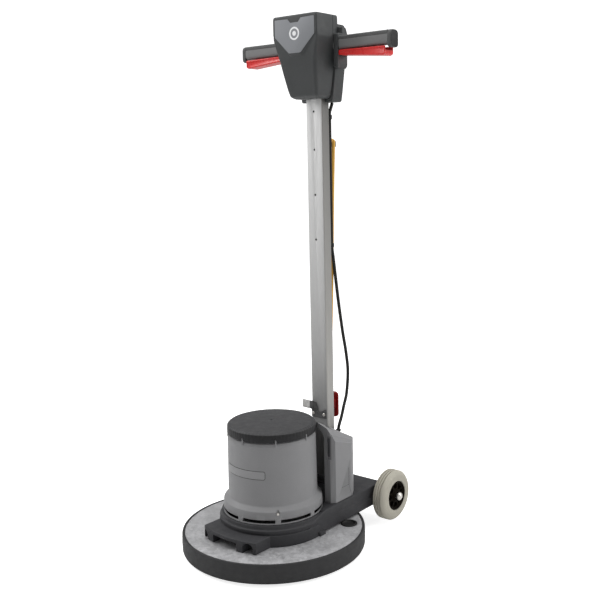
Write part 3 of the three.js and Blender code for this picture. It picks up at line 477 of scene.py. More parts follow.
PAINT = {
    "deck": galvanised("galvanised_deck", (0.43, 0.43, 0.44)),
    "bracket": galvanised("galvanised_bracket", (0.66, 0.655, 0.64), 0.4, 0.2),
    # Painted shade: a dark copy of the zinc for the part of the bracket that lies in shade.
    "bracket_shade": galvanised("galvanised_shaded", (0.12, 0.12, 0.12), 0.45, 0.4),
    "bumper": moulding("bumper_rubber", (0.027, 0.027, 0.028), 0.62, 0.08, 0.35, 0.9, 0.2),
    "chassis": moulding("chassis_moulding", (0.036, 0.036, 0.039), 0.55, 0.06, 0.35, 1.2, 0.25),
    "casing": moulding("casing_moulding", (0.23, 0.23, 0.235), 0.5, 0.035, 0.16, 0.9, 0.25),
    # Painted shade: a near-black copy of the cover moulding for the rear cover's inner faces.
    "inside": moulding("cover_inside_shade", (0.035, 0.035, 0.036), 0.7, 0.1, 0.3, 1.2, 0.1, shine=0.1),
    "cover": moulding("cover_moulding", (0.19, 0.19, 0.194), 0.52, 0.035, 0.16, 0.9, 0.25),
    # Painted shade: a darker copy of the cover moulding for the front wall, which faces the motor and lies in its
    # shade.
    "cover_front_shade": moulding("cover_front_shade_moulding", (0.135, 0.135, 0.138), 0.6, 0.04, 0.2, 0.9, 0.2,
                            shine=0.15),
    "badge": moulding("badge_moulding", (0.26, 0.26, 0.265), 0.45, 0.03, 0.1, 0.9, 0.2),
    "cap": moulding("cap_moulding", (0.040, 0.040, 0.042), 0.55, 0.07, 0.5, 1.3, 0.3),
    # Painted shade: a near-black copy of the dark mouldings, put on side faces to stand in for their shade.
    "painted_shade_side": moulding("painted_shade_side_moulding", (0.013, 0.013, 0.014), 0.5, 0.07, 0.4, 1.3, 0.6),
    "box": moulding("box_moulding", (0.055, 0.058, 0.059), 0.48, 0.05, 0.3, 1.0, 0.25),
    "grip": moulding("grip_moulding", (0.165, 0.166, 0.166), 0.5, 0.06, 0.35, 1.0, 0.2),
    "soft": moulding("soft_grip", (0.085, 0.087, 0.087), 0.7, 0.12, 0.7, 1.6, 0.2),
    "black": moulding("black_plastic", (0.012, 0.012, 0.012), 0.5, 0.08, 0.3, 1.0, 0.3),
    "lead": moulding("lead_sheath", (0.010, 0.010, 0.009), 0.45, 0.08, 0.2, 1.5, 0.2),
    "label": moulding("label_film", (0.262, 0.27, 0.285), 0.6, 0.02, 0.1, 0.6, 0.0, shine=0.08),
    "white": moulding("printed_white", (0.86, 0.86, 0.87), 0.5, 0.02, 0.1, 0.8, 0.0),
    "tyre": moulding("tyre_rubber", (0.42, 0.40, 0.34), 0.75, 0.06, 0.4, 1.3, 0.15),
    "hub": moulding("hub_moulding", (0.006, 0.004, 0.002), 0.7, 0.1, 0.3, 1.2, 0.6, shine=0.08),
    "red": moulding("red_lever", (0.66, 0.022, 0.02), 0.3, 0.05, 0.08, 1.4, 0.25, coat=0.4),
    # Painted shade: a dark copy of the lever red for the hook behind the pole.
    "shaded_red": moulding("red_hook_shaded", (0.17, 0.002, 0.002), 0.5, 0.05, 0.1, 1.4, 0.2, shine=0.1),
    "yellow": moulding("yellow_sheath", (0.72, 0.40, 0.07), 0.5, 0.06, 0.2, 1.5, 0.1),
    "steel": drawn_metal("plain_steel", (0.62, 0.62, 0.63), 0.32, 0.9, "x"),
    "screw": drawn_metal("screw_zinc", (0.68, 0.66, 0.62), 0.3, 0.8, "z"),
    # Painted shade: the pole's front darkens towards the bottom.
    "pole": drawn_metal("pole_aluminium", (0.70, 0.70, 0.695), 0.5, 0.12, "z", 0.25, 1.0, 0.48),
    # Painted shade and reflection: a dark copy for the pole's sides, darkest at the top under the box.
    "pole_side_shade": drawn_metal("pole_side_shaded_aluminium", (0.155, 0.152, 0.145), 0.5, 0.15, "z", 0.35, 1.05,
                             2.5),
    "copper": drawn_metal("stator_windings", (0.42, 0.24, 0.15), 0.5, 0.5, "z"),
    "bristle": drawn_metal("bristle_filament", (0.035, 0.05, 0.075), 0.6, 0.0, "z"),
    "block": moulding("brush_block", (0.05, 0.05, 0.052), 0.55, 0.06, 0.3, 1.2, 0.3),
}


# ---- Brush deck -------------------------------------------------------------------------------
def brush_deck():
    ring = span("bumper_ring")
    plate = span("deck_plate")
    outer, top, foot = ring.x1, ring.z1, ring.z0
    seat = plate.x1 + 0.3
    bumper = lathe("bumper_moulding", rounded([
        (seat, top - 0.3, 0.3), (outer - 1.6, top, 1.5), (outer - 0.4, top - 4, 3), (outer, 30, 30),
        (outer - 0.6, foot + 5, 3), (outer - 3, foot, 2), (seat + 1, foot, 1.5),
        (seat - 1, foot + 28, 2),
        (seat - 6, foot + 34, 1), (seat - 6, plate.z0 - 0.3, 0.3), (seat, plate.z0 - 0.3, 0.2),
    ], steps=4), 216)
    place(bumper, "chassis", "bumper", PAINT["bumper"], "bumper_ring")

    deck = lathe("deck_sheet", rounded([
        (62, plate.z0), (62, plate.z1), (plate.x1 - 0.2, plate.z1, 0.9), (plate.x1, plate.z0, 0.3),
    ], steps=3), 216)
    port = span("deck_port_plug")
    cut(deck, rod("port", "z", PORT_HOLE, plate.z0 - 2, plate.z1 + 2, port.x, port.y, 48))
    place(deck, "chassis", "deck_metal", PAINT["deck"], "deck_plate")

    radius, top = (port.x1 - port.x0) / 2, port.z1
    plug = lathe("port_plug_moulding", rounded([
        (0, port.z0), (radius - 4, port.z0, 1), (radius - 3.4, plate.z1 + 0.3, 0.2),
        (radius, plate.z1 + 0.3, 0.6),
        (radius, top - 0.4, 1), (radius - 4.5, top, 1), (radius - 6, top - 4, 1.2), (0, top - 5),
    ], steps=3), 64, ring=False)
    shifted(plug, port.x, port.y)
    place(plug, "chassis", "black_plastic", PAINT["black"], "deck_port_plug")


# ---- Chassis ----------------------------------------------------------------------------------
def chassis():
    body = span("chassis_frame")
    plate_top, rear, top = body.z0, body.y1, body.z1
    wall = 125
    lip_top = span("motor_casing").z0 - 0.3
    collar = lathe("chassis_moulding", rounded([
        (40, plate_top), (126.5, plate_top, 0.6), (126.5, 77.5, 2.5), (124.0, 78.2, 0.6),
        (123.6, 80.2, 0.6),
        (125.7, 81.0, 0.8), (125.7, 88.6, 2.0), (122.4, 89.6, 0.8), (121.6, 91.6, 0.6),
        (120.9, lip_top, 1.2),
        (111, lip_top, 0.5), (111, 62, 1), (40, 62, 0.5),
    ], steps=3), 144)
    side = rounded([
        (-20, 54), (rear, 54, 6), (rear, 80, 10), (288, 94, 14), (262, top, 20),
        (45, top, 40), (-8, 89, 20), (-20, 77.5),
    ], steps=5)
    arms = prism("arms", side, "x", -wall, wall, 3)
    plan = rounded([(-wall, -100), (wall, -100), (wall, rear, 20), (-wall, rear, 20)], steps=7)
    boolean(arms, prism("plan", plan, "z", 40, 120), "INTERSECT")
    nose = rounded([
        (-85, -80), (-87, -141, 2), (-76, -147, 6), (-45, -155, 30), (0, -160, 90), (45, -156, 30),
        (70, -149.5, 6), (78, -147, 2), (78, -80),
    ], steps=4)
    front = prism("front", nose, "z", plate_top, 78, 1.6)
    arch = rounded([(46, 40), (71, 40), (71, 74.5, 12.4), (46, 74.5, 12.4)], steps=8)
    corner = rounded([(-84, 40), (-67, 40), (-67, 58, 6), (-76, 70, 5), (-84, 70, 2)], steps=4)
    cut(front,
        prism("left_gap", corner, "y", -175, -132),
        prism("middle_gap", rectangle(-46, 29, 40, 70, 3), "y", -175, -132),
        prism("right_gap", arch, "y", -175, -132))
    well = lathe("well", [(0, 62), (111, 62), (111, lip_top), (118.5, lip_top), (118.5, 120),
                          (0, 120)], 144, False)
    pads = [prism("pad", rectangle(x0, x1, 12, 34, 3), "z", plate_top, 60)
            for x0, x1 in ((112, 131), (-131, -112))]
    add(arms, front, *pads)
    cut(arms, well,
        block("under", 8 - wall, wall - 8, 134, 250, 40, top - 6),
        rod("axle_bore", "x", PIN_BORE, -200, 200, AXLE_Y, AXLE_Z, 32))
    add(collar, arms)
    cut(collar, rod("hub_hole", "z", 40, 40, 70, 0, 0, 64))
    soften(collar, 1.1, 2, 46)
    place(collar, "chassis", "casting", PAINT["chassis"], "chassis_frame", angle=30)


# ---- Motor ------------------------------------------------------------------------------------
RIB_COUNT = 8
RIB_START = -88
BARREL = span("motor_cap").x1 - 0.6


def rib_turns():
    return [RIB_START + 360 * i / RIB_COUNT for i in range(RIB_COUNT)]


def motor_casing():
    case = span("motor_casing")
    foot, flange = case.z0, case.x1
    rim = span("upper_end_shield").z1 + 16.5
    shell = lathe("casing_shell", rounded([
        (flange - 3, foot, 0.4), (flange, foot, 1.2), (flange - 2, foot + 28.5, 4),
        (BARREL + 1.2, foot + 37.5, 5),
        (BARREL - 0.4, rim - 9, 4), (BARREL - 2.4, rim - 2, 2), (BARREL - 5.0, rim, 1),
        (BARREL - 6.4, rim, 0.5),
        (BARREL - 5, rim - 14, 2),
        (BARREL - 3, foot + 40, 3), (flange - 5, foot + 27, 2),
    ], steps=5), 192)
    half = 0.34
    wedge = [(90 * math.cos(-half), 90 * math.sin(-half))]
    wedge += [(140 * math.cos(half * k / 6), 140 * math.sin(half * k / 6)) for k in range(-6, 7)]
    wedge += [(90 * math.cos(half), 90 * math.sin(half))]
    slots = [spun(prism("slot", wedge, "z", foot + 3, foot + 11),
                  turn + 180 / RIB_COUNT) for turn in rib_turns()]
    cut(shell, gathered("slots", slots))
    tab = rounded([(BARREL - 6, rim - 10), (BARREL - 0.6, rim - 10, 1), (BARREL + 0.6, rim - 4, 2),
                   (BARREL, rim + 8, 1),
                   (BARREL - 1.4, rim + 9.5, 1), (BARREL - 6, rim + 9.5)], steps=2)
    tabs = [spun(prism("tab", tab, "y", -1.4, 1.4, 0.4, 2), turn) for turn in rib_turns()]
    add(shell, gathered("tabs", tabs))
    pocket = spun(rod("pocket", "z", 3.6, foot + 24, foot + 60, flange - 2.8, 0, 24), RIB_START + 45)
    cut(shell, pocket)
    soften(shell, 0.5, 2, 50)
    place(shell, "chassis", "casing", PAINT["casing"], "motor_casing", angle=30)

    away = flange - 2.8
    screw = lathe("casing_screw_head", rounded([
        (0, foot + 22), (2.9, foot + 22), (2.9, foot + 25.5, 0.9), (1.4, foot + 26.2, 0.3),
        (1.2, foot + 25.4, 0.2),
        (0, foot + 25.2),
    ], steps=3), 24, ring=False)
    shifted(screw, away, 0)
    spun(screw, RIB_START + 45)
    place(screw, "chassis", "steel", PAINT["screw"], "casing_screw")


def blank_badge():
    """A plain raised oblong on the front of the casing, with a sunken border line."""
    half_angle, low, high, proud = 33, 197.5, 217.5, 0.7
    reach = half_angle * math.pi / 180 * BARREL
    plate = rectangle(-reach, reach, low, high, 5, 8)

    def wrapped(name, shape, inner, outer):
        dense = []
        for a, b in zip(shape, shape[1:] + shape[:1]):
            parts = max(1, round(math.dist(a, b) / 4))
            dense += [(a[0] + (b[0] - a[0]) * k / parts,
                       a[1] + (b[1] - a[1]) * k / parts) for k in range(parts)]
        levels = [(inner, 0), (outer - 0.35, 0), (outer - 0.1, 0.12), (outer, 0.4)]
        piece = loft(name, [[(u, v, level) for u, v in inset(dense, depth)] for level, depth in levels])

        def grid(mesh):
            bmesh.ops.triangulate(mesh, faces=[f for f in mesh.faces if len(f.verts) > 4])
            edges = [e for e in mesh.edges if e.calc_length() > 6 * MM]
            for _ in range(3):
                bmesh.ops.subdivide_edges(mesh, edges=edges, cuts=1)
                edges = [e for e in mesh.edges if e.calc_length() > 6 * MM]
            for vertex in mesh.verts:
                u, v, level = vertex.co / MM
                turn = math.radians(RIB_START - 2) + u / BARREL
                radius = BARREL + 1.2 - 1.7 * (v - 136.5) / 131 + level
                vertex.co = Vector((radius * math.cos(turn), radius * math.sin(turn), v)) * MM
        return edit(piece, grid)

    place(wrapped("badge_border", plate, -0.8, 0.35), "chassis", "dark_plastic", PAINT["black"])
    place(wrapped("badge_plate", inset(plate, 1.1), -0.5, proud), "chassis", "casing", PAINT["badge"])


def motor_cap():
    """A shallow lid with a fluted upper edge, notched where the casing's tabs reach it."""
    cap = span("motor_cap")
    radius, crown = cap.x1, cap.z1
    edge = crown - 2.5
    foot = edge - 22
    flutes = 78
    shell = lathe("cap_shell", rounded([
        (0, crown - 2.4), (2.6, crown - 2.4, 0.4), (3.2, crown - 0.9, 0.4), (7, crown - 0.5, 3),
        (10, crown, 3),
        (55, crown - 1.0, 60), (radius - 5.5, edge - 0.2, 3), (radius - 0.5, edge - 4.0, 2.0),
        (radius, foot + 6, 3),
        (radius, foot, 1), (radius - 3.4, foot, 0.5), (radius - 4, foot + 8, 1),
        (radius - 8, edge - 6, 2),
        (0, edge - 6),
    ], steps=5), flutes * 6, ring=False)

    def flute(mesh):
        for vertex in mesh.verts:
            x, y, z = vertex.co / MM
            away = math.hypot(x, y)
            share = smooth_step((z - edge + 7) / 3) * smooth_step((away - radius + 7) / 4)
            wave = 0.5 - 0.5 * math.cos(flutes * math.atan2(y, x))
            pull = 1 - 0.8 * share * wave ** 2 / max(away, 1)
            vertex.co.x *= pull
            vertex.co.y *= pull
    edit(shell, flute)
    notches = []
    for turn in rib_turns():
        notch = prism("notch", [(-6, foot - 5), (2.4, foot - 5), (2.4, foot + 8), (0.6, foot + 9),
                                (-2.4, foot + 3)],
                      "y", BARREL - 6, BARREL + 5)
        moved(notch, Matrix.Rotation(-math.pi / 2, 4, "Z"))
        notches.append(spun(notch, turn))
    cut(shell, gathered("notches", notches))
    place(shell, "chassis", "dark_plastic", PAINT["cap"], "motor_cap", angle=32)
    # The skirt's upright faces get the near-black copy as painted shade.
    shell.data.materials.append(PAINT["painted_shade_side"])
    for polygon in shell.data.polygons:
        if abs(polygon.normal.z) < 0.3:
            polygon.material_index = 1

    head = lathe("cap_screw_head", rounded([
        (0, crown - 6), (2.2, crown - 6), (2.2, crown - 3.2, 0.5), (1.4, crown - 2.9, 0.3),
        (1.2, crown - 3.8, 0.2),
        (0, crown - 3.8),
    ], steps=3), 32, ring=False)
    place(head, "chassis", "steel", PAINT["black"], "cap_screw")


# ---- Rear cover -------------------------------------------------------------------------------
COVER_CROWN = [(30, 299), (72, 295), (102.5, 284), (114.5, 271), (120.5, 256)]


def roof_height(x, y):
    """The top of the rear cover: a sloped ridge with shoulders that flatten towards the rear."""
    cover = span("rear_cover")
    share = min(1.0, max(0.0, (y - cover.y0) / (cover.y1 - cover.y0)))
    drop = COVER_CROWN[0][1] - between(COVER_CROWN, abs(x))
    return cover.z1 - 0.537 * (y - cover.y0) - drop * (1 - 0.75 * share)


def rear_cover():
    cover = span("rear_cover")
    shell = copy_of("rear_cover", "rear_cover_shell")
    half, front, rear = cover.x1, cover.y0, cover.y1

    def outer(middle):
        away = abs(middle.x)
        at_side = away > half - 1.5 or middle.y > rear - 1.5
        at_roof = middle.z > roof_height(middle.x, middle.y) - 2.5 and away > 26
        at_corner = away > half - 10.5 and (middle.y < front + 1 or middle.y > 148)
        return (at_side or at_roof or at_corner) and middle.z > cover.z0 + 2

    soften(shell, 4, 4, 22, outer)
    # Clip recess in the front wall of each side, and thin seams low on each flank.
    for side in (1, -1):
        tools = [
            prism("recess", rectangle(102, half + 3, 209, 266, 3, 5), "y", front - 3, front + 2.2),
            prism("seam", rectangle(109, 136.5, 134.5, 135.5), "x", half - 0.9, half + 3),
            prism("upright", rectangle(136, 137, 132, 176), "x", half - 0.9, half + 3),
            prism("tab_line", [(136, 133), (137, 133), (148, 102), (147, 102)], "x", half - 0.9,
                  half + 3),
        ]
        for tool in tools:
            cut(shell, tool if side > 0 else mirrored(tool))
    place(shell, "chassis", "casing", PAINT["cover"], "rear_cover", angle=28)
    # The inner faces of the cover are painted near-black as painted shade.
    shell.data.materials.append(PAINT["inside"])
    shell.data.materials.append(PAINT["cover_front_shade"])
    for polygon in shell.data.polygons:
        x, y, z = polygon.center / MM
        facing_in = polygon.normal.dot(Vector((0, 130, 180)) - polygon.center / MM) > 0
        if facing_in and y > front + 3 and z < roof_height(x, y) - 1:
            polygon.material_index = 1
        # The front faces of the cover are painted darker as painted shade.
        elif y < front + 3 and polygon.normal.y < -0.8:
            polygon.material_index = 2
    weigh_normals(shell)
    clip = prism("clip_bar", rectangle(104, 110, 216, 260, 1.5, 4), "y", front + 0.4, front + 2.8, 0.6)
    place(clip, "chassis", "dark_plastic", PAINT["chassis"])


def cover_fittings():
    gland = span("lead_gland")
    top = gland.z1
    nut = lathe("gland_moulding", rounded([
        (0, gland.z0), (5, gland.z0), (5.1, top - 4.6), (6, top - 3.6, 0.4), (6.8, top - 2.9, 0.5),
        (6.8, top - 1.0, 0.5),
        (5.4, top, 0.6), (0, top),
    ], steps=3), 40, ring=False)
    shifted(nut, gland.x, gland.y)
    place(nut, "chassis", "black_plastic", PAINT["black"], "lead_gland")


# ---- Pole -------------------------------------------------------------------------------------
def pole():
    tube_box = span("pole_tube")
    outer = rectangle(tube_box.x0, tube_box.x1, tube_box.y0, tube_box.y1, 4, 6)
    shell = prism("pole_section", outer, "z", tube_box.z0, tube_box.z1)
    cut(shell, prism("bore", inset(outer, 2), "z", tube_box.z0 - 5, tube_box.z1 + 5))
    for height in POLE_HOLES:
        cut(shell, rod("hole", "y", 2.7, tube_box.y0 - 4, tube_box.y0 + 4, 0, height, 20))
    cut(shell, rod("pin_bore", "x", PIN_BORE, -60, 60, PIVOT_Y, PIVOT_Z, 32))
    soften(shell, 0.35, 2, 60)
    place(shell, "handle", "pole_metal", PAINT["pole"], "pole_tube", angle=30)
    # The side faces get the dark copy as painted shade and reflection.
    shell.data.materials.append(PAINT["pole_side_shade"])
    for polygon in shell.data.polygons:
        if abs(polygon.normal.x) > 0.7:
            polygon.material_index = 1


def bracket():
    """A bent sheet on the front of the pole: a notched plate with a tab curling out to the left."""
    sheet = span("accessory_bracket")
    face, thick = sheet.y1, 1.8
    shape = rounded([
        (-23, 268, 1.5), (23.5, 268, 1.5), (24, 293, 1), (3, 283.5, 1.5), (-3, 287, 1), (-6, 306, 3),
        (-12, 310, 2),
        (-23, 310), (-47, 311, 1), (-47, 289, 1), (-23, 288.5, 1),
    ], steps=3)
    plate = prism("bracket_sheet", shape, "y", face - thick, face, 0.3, 2)

    def change(mesh):
        bmesh.ops.triangulate(mesh, faces=[f for f in mesh.faces if len(f.verts) > 4])
        for _ in range(4):
            long = [e for e in mesh.edges if e.calc_length() > 4 * MM]
            bmesh.ops.subdivide_edges(mesh, edges=long, cuts=1)
            bmesh.ops.triangulate(mesh, faces=[f for f in mesh.faces if len(f.verts) > 4])
        for vertex in mesh.verts:
            x, z = vertex.co.x / MM, vertex.co.z / MM
            raised = smooth_step((z - 285) / 7)
            bow = 7.0 * smooth_step((-x - 2) / 12) * raised
            vertex.co.y -= bow * MM
    edit(plate, change)
    place(plate, "handle", "deck_metal", PAINT["bracket"], "accessory_bracket", angle=40)
    # The sheet right of x = -24 mm, which turns away from the light, is painted dark as painted shade.
    plate.data.materials.append(PAINT["bracket_shade"])
    for polygon in plate.data.polygons:
        if polygon.center.x / MM > -24:
            polygon.material_index = 1
    for i in (1, 2):
        screw = span(f"bracket_screw_{i}")
        head = lathe(f"bracket_screw_{i}_head", rounded([
            (0, 0), (1.3, 0), (1.5, 1.1, 0.2), (2.6, 0.2, 0.5), (4, 1.6, 0.9), (4, 2.4, 0.2),
            (1.9, 2.5), (1.9, 5), (0, 5),
        ], steps=3), 28, ring=False)
        moved(head, Matrix.Translation((screw.x * MM, screw.y0 * MM, screw.z * MM)) @ TO_REAR)
        place(head, "handle", "steel", PAINT["screw"], f"bracket_screw_{i}")


def hooks_and_leads():
    upper = span("cable_hook_upper")
    back = upper.y0
    arm = rounded([(back, 929), (back + 4, 929, 1.5), (back + 5, 938, 3), (246, 936.5, 1),
                   (252, 936.5, 1.5), (252, 951, 1.5),
                   (247, 951, 1), (246.5, 945, 2), (back + 6, 946, 3), (back + 4, 960, 1.5),
                   (back, 960)], steps=3)
    place(prism("upper_hook_moulding", arm, "x", -9, 9, 1.2), "handle", "black_plastic",
          PAINT["black"], "cable_hook_upper")

    low = span("cable_hook_lower")
    lip = rectangle(-11, 11, low.z0, low.z1, 9.5, 8)
    hook = prism("lower_hook_moulding", lip, "y", low.y1 - 8, low.y1, 2.2, 4)
    add(hook, prism("neck", rectangle(-8, 8, HOOK_LEVEL - 12, HOOK_LEVEL + 12, 4, 5), "y", low.y0 + 4,
                    low.y1 - 3))
    add(hook, rod("boss", "y", 9, low.y0, low.y0 + 6, 0, HOOK_LEVEL, 40))
    rim = prism("rim", rectangle(-7.5, 7.5, low.z0 + 4, low.z1 - 4, 6, 6), "y", low.y1 - 1.2,
                low.y1 + 2)
    cut(hook, rim)
    soften(hook, 0.8, 2, 45)
    # The hook gets the dark red as painted shade.
    place(hook, "cable_hook", "red_plastic", PAINT["shaded_red"], "cable_hook_lower")

    lead = span("motor_lead_upper")
    radius = (lead.x1 - lead.x0) / 2
    lead_x, lead_y = lead.x, lead.y0 + radius
    foot = span("control_box_rear").z0
    place(tube("motor_lead_upper_sheath", [
        (lead_x, lead_y + 11, foot - 1.6), (lead_x, lead_y + 5, 1029), (lead_x, lead_y, 1018),
        (lead_x, lead_y, 1002),
        (lead_x, lead_y, 850), (lead_x, lead_y, lead.z0),
    ], radius, 16, 8), "handle", "lead_black", PAINT["lead"], "motor_lead_upper")
    gland = span("lead_gland")
    loose = tube("motor_lead_loose", [
        (lead_x, lead_y, lead.z0 - 0.3), (lead_x, 221, 660), (lead_x + 1, 236, 558),
        (lead_x + 2, 250, 478),
        (lead_x + 3, 262, 420), (lead_x + 4, 267, 370), (lead_x + 7, 256.5, 318),
        (lead_x + 10.7, 239.7, 290),
        (lead_x + 14, 224.7, 265), (gland.x - 0.7, 211, 249),
        (gland.x, gland.y, gland.z1 + 0.4),
    ], radius, 16, 10)
    place(loose, None, "lead_black", PAINT["lead"], "motor_lead_lower")
    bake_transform(loose)
    place(tube("supply_lead_sheath", [
        (-11, 226, foot - 1), (-11, 230, 1000), (-11, 236, 962), (-8, 240, 953.5), (2, 240, 953.5),
        (11, 239, 950),
        (13, 236, 935), (12, 230, 800), (10, 224, 600), (8, 217, 440), (4, 215, 412), (0, 215, 406),
        (-4, 215, 412),
        (-8, 217, 440), (-10, 224, 600), (-12, 230, 800), (-12, 234, 900),
    ], 4, 16, 8), "handle", "lead_yellow", PAINT["yellow"], "supply_lead")
    for name in ("upper", "lower"):
        clip = span(f"lead_clip_{name}")
        level = clip.z
        turns = [2 * math.pi * k / 24 for k in range(24)]
        circle = [(lead_x + 6 * math.cos(t), lead_y + 6 * math.sin(t)) for t in turns]
        band = prism(f"lead_clip_{name}_band", circle, "z", level - 5, level + 5, 0.8)
        add(band, prism("foot", rectangle(clip.x0, lead_x - 3, clip.y0, clip.y0 + 2.2, 0.8, 3), "z",
                        level - 5, level + 5, 0.6))
        cut(band, rod("bore", "z", radius + 0.4, level - 9, level + 9, lead_x, lead_y, 24))
        place(band, "handle", "black_plastic", PAINT["black"], f"lead_clip_{name}")


# ---- Wheels -----------------------------------------------------------------------------------
def wheel(name, side):
    box = span(f"tyre_{name}")
    inner, outer = (box.x0, box.x1) if side > 0 else (-box.x1, -box.x0)
    radius = (box.z1 - box.z0) / 2
    seat = 35.5
    profile = [(seat, inner + 4, 0.5), (radius - 9, inner + 0.3, 3), (radius - 1.5, inner + 1.0, 1.4),
               (radius, inner + 3, 1.5)]
    for groove in (inner + 6.5, inner + 13.5, inner + 20.5):
        profile += [(radius, groove - 1.6, 0.4), (radius - 2.8, groove - 1.0, 0.2),
                    (radius - 2.8, groove + 1.0, 0.2),
                    (radius, groove + 1.6, 0.4)]
    profile += [(radius, outer - 10, 0.8), (radius - 1, outer - 8, 1), (radius - 4.5, outer - 4, 3),
                (radius - 10, outer - 1, 2), (radius - 15, outer - 0.4, 0.8),
                (radius - 15.7, outer - 1.0, 0.4),
                (radius - 16.4, outer - 0.2, 0.4), (seat + 1, outer - 1, 1), (seat, outer - 4, 0.4)]
    axis = Matrix.Translation((0, box.y * MM, box.z * MM)) @ Matrix.Rotation(math.pi / 2, 4, "Y")
    tyre = moved(lathe(f"tyre_{name}_moulding", rounded(profile, steps=4), 144), axis)

    rim = seat - 0.3
    hub = lathe(f"hub_{name}_moulding", rounded([
        (6.3, inner + 2), (13, inner + 2, 1), (rim, inner + 5), (rim, outer - 1.8, 0.8),
        (rim - 2.6, outer - 1.8, 1),
        (rim - 4.2, outer - 6, 1.2), (28, outer - 7.2, 1.5), (16, outer - 5.5, 3), (14, outer - 1, 2),
        (12.4, outer + 1.8, 0.8), (10.4, outer + 1.8, 0.4), (10.4, outer - 4, 0.4), (6.3, outer - 4),
    ], steps=4), 144)
    pockets = []
    for k in range(8):
        pocket = prism("pocket", rounded([(17, -4.6, 2), (29, -9.6, 2), (29, 9.6, 2), (17, 4.6, 2)],
                                         steps=3),
                       "z", outer - 13, outer + 3)
        pockets.append(spun(pocket, 45 * k))
    cut(hub, gathered("pockets", pockets))
    moved(hub, axis)

    tip = span(f"axle_cap_{name}").x1 if side > 0 else -span(f"axle_cap_{name}").x0
    bar_end = span("axle").x1
    cap = lathe(f"axle_cap_{name}_dome", rounded([
        (0, bar_end + 0.4), (6.3, bar_end + 0.4), (6.3, bar_end - 2), (9.9, bar_end - 2, 0.5),
        (9.9, bar_end + 1.6, 2.4),
        (5, tip - 0.6, 4), (0, tip),
    ], steps=5), 48, ring=False)
    moved(cap, axis)
    pieces = [
        (tyre, f"wheel_{name}", "tyre", PAINT["tyre"], f"tyre_{name}"),
        (hub, f"wheel_{name}", "hub", PAINT["hub"], f"wheel_hub_{name}"),
        (cap, "chassis", "steel", PAINT["screw"], f"axle_cap_{name}"),
    ]
    for piece, body, slot, paint, node in pieces:
        place(piece if side > 0 else mirrored(piece), body, slot, paint, node)


# ---- Control box ------------------------------------------------------------------------------
BOX_FACE = span("control_box_front").y0
BOX_SPLIT = 191
HALF_WIDTH = [(1050, 34), (1051, 37.5), (1053, 40.3), (1057, 42.6), (1068, 45.5), (1135, 56),
              (1189, 67),
              (1233, 67), (1241, 65.5)]


def shield_foot(x):
    """The lower edge of the flat panel on the front of the box: a wide V with a flat bottom."""
    return 1151 + 0.95 * max(0.0, abs(x) - 16)


def face_depth(x, z):
    """How far the front of the box lies behind its flat panel."""
    below = max(0.0, 1196 - z)
    slope = 0.0078 * below ** 1.64
    under = (shield_foot(x) - z) * 0.73
    foot = 9 * (1 - smooth_step((z - 1049.5) / 7))
    return slope * smooth_step(under / 5.0 + 0.1) + foot + 0.9 * smooth_step(under / 1.6)


def box_front():
    low, high = 1050, span("control_box_front").z1
    rows = [low, low + 0.6, low + 1.6, low + 3]
    rows += [low + 3 + (high - 7 - low) * k / 92 for k in range(1, 93)]
    round_over = 4.0
    columns = 56
    loops = []
    for z in rows + [high - 4 + 4 * math.sin(k / 4 * math.pi / 2) for k in range(1, 5)]:
        over = max(0.0, z - (high - round_over)) / round_over
        back = round_over * (1 - math.sqrt(max(0.0, 1 - over * over)))
        half = between(HALF_WIDTH, z) - back * 0.8
        corner = between([(1050, 7), (1135, 9), (1185, 3), (1241, 3)], z)
        loop = [(-half + 1 , BOX_SPLIT - 0.3, z), (-half, BOX_SPLIT - 1.3, z), (-half, 160, z)]
        for k in range(columns + 1):
            x = -half + 2 * half * k / columns
            x = half * math.copysign(1 - max(0.0, 1 - abs(x) / half) ** 1.35, x)
            near = max(0.0, corner - (half - abs(x)))
            turn = corner - math.sqrt(max(0.0, corner ** 2 - near ** 2))
            loop.append((x, BOX_FACE + face_depth(x, z) + turn + back, z))
        loop += [(half, 160, z), (half, BOX_SPLIT - 1.3, z), (half - 1, BOX_SPLIT - 0.3, z)]
        loops.append(loop)
    shell = loft("box_front_shell", loops)
    half_pole = span("pole_tube").x1 + 0.5
    pole_box = span("pole_tube")
    cut(shell, block("pole_room", -half_pole, half_pole, pole_box.y0 - 0.5, 240, 1000, pole_box.z1 + 2))
    # A shallow groove runs down both sides.
    grooves = [block("groove", x0, x1, 171.4, 172.6, 1140, 1239)
               for x0, x1 in ((65.4, 71), (-71, -65.4))]
    cut(shell, gathered("grooves", grooves))
    place(shell, "handle", "dark_plastic", PAINT["box"], "control_box_front", angle=40)


def box_label():
    """A plain film on the flat panel, with a generic ring printed on it."""
    film = rounded([
        (-59.5, 1233, 2), (-59.5, 1193, 3), (-17.5, 1153.5, 4), (17.5, 1153.5, 4), (59.5, 1193, 3),
        (59.5, 1233, 2),
        (20, 1232, 1), (12, 1223, 2), (-12, 1223, 2), (-20, 1232, 1),
    ], steps=4)
    place(prism("label_film", film, "y", BOX_FACE - 0.6, BOX_FACE - 0.05, 0.15, 2), "handle", "label",
          PAINT["label"], "box_label")
    turns = [2 * math.pi * k / 64 for k in range(64)]

    def disc(name, radius, deep):
        circle = [(radius * math.cos(t), LABEL_Z + radius * math.sin(t)) for t in turns]
        return prism(name, circle, "y", BOX_FACE - deep, BOX_FACE - 0.5)
    ring = cut(disc("label_ring", 15, 0.75), disc("hole", 11, 3))
    place(ring, "handle", "label", PAINT["white"])
    place(disc("label_dot", 5.5, 0.75), "handle", "label", PAINT["white"])


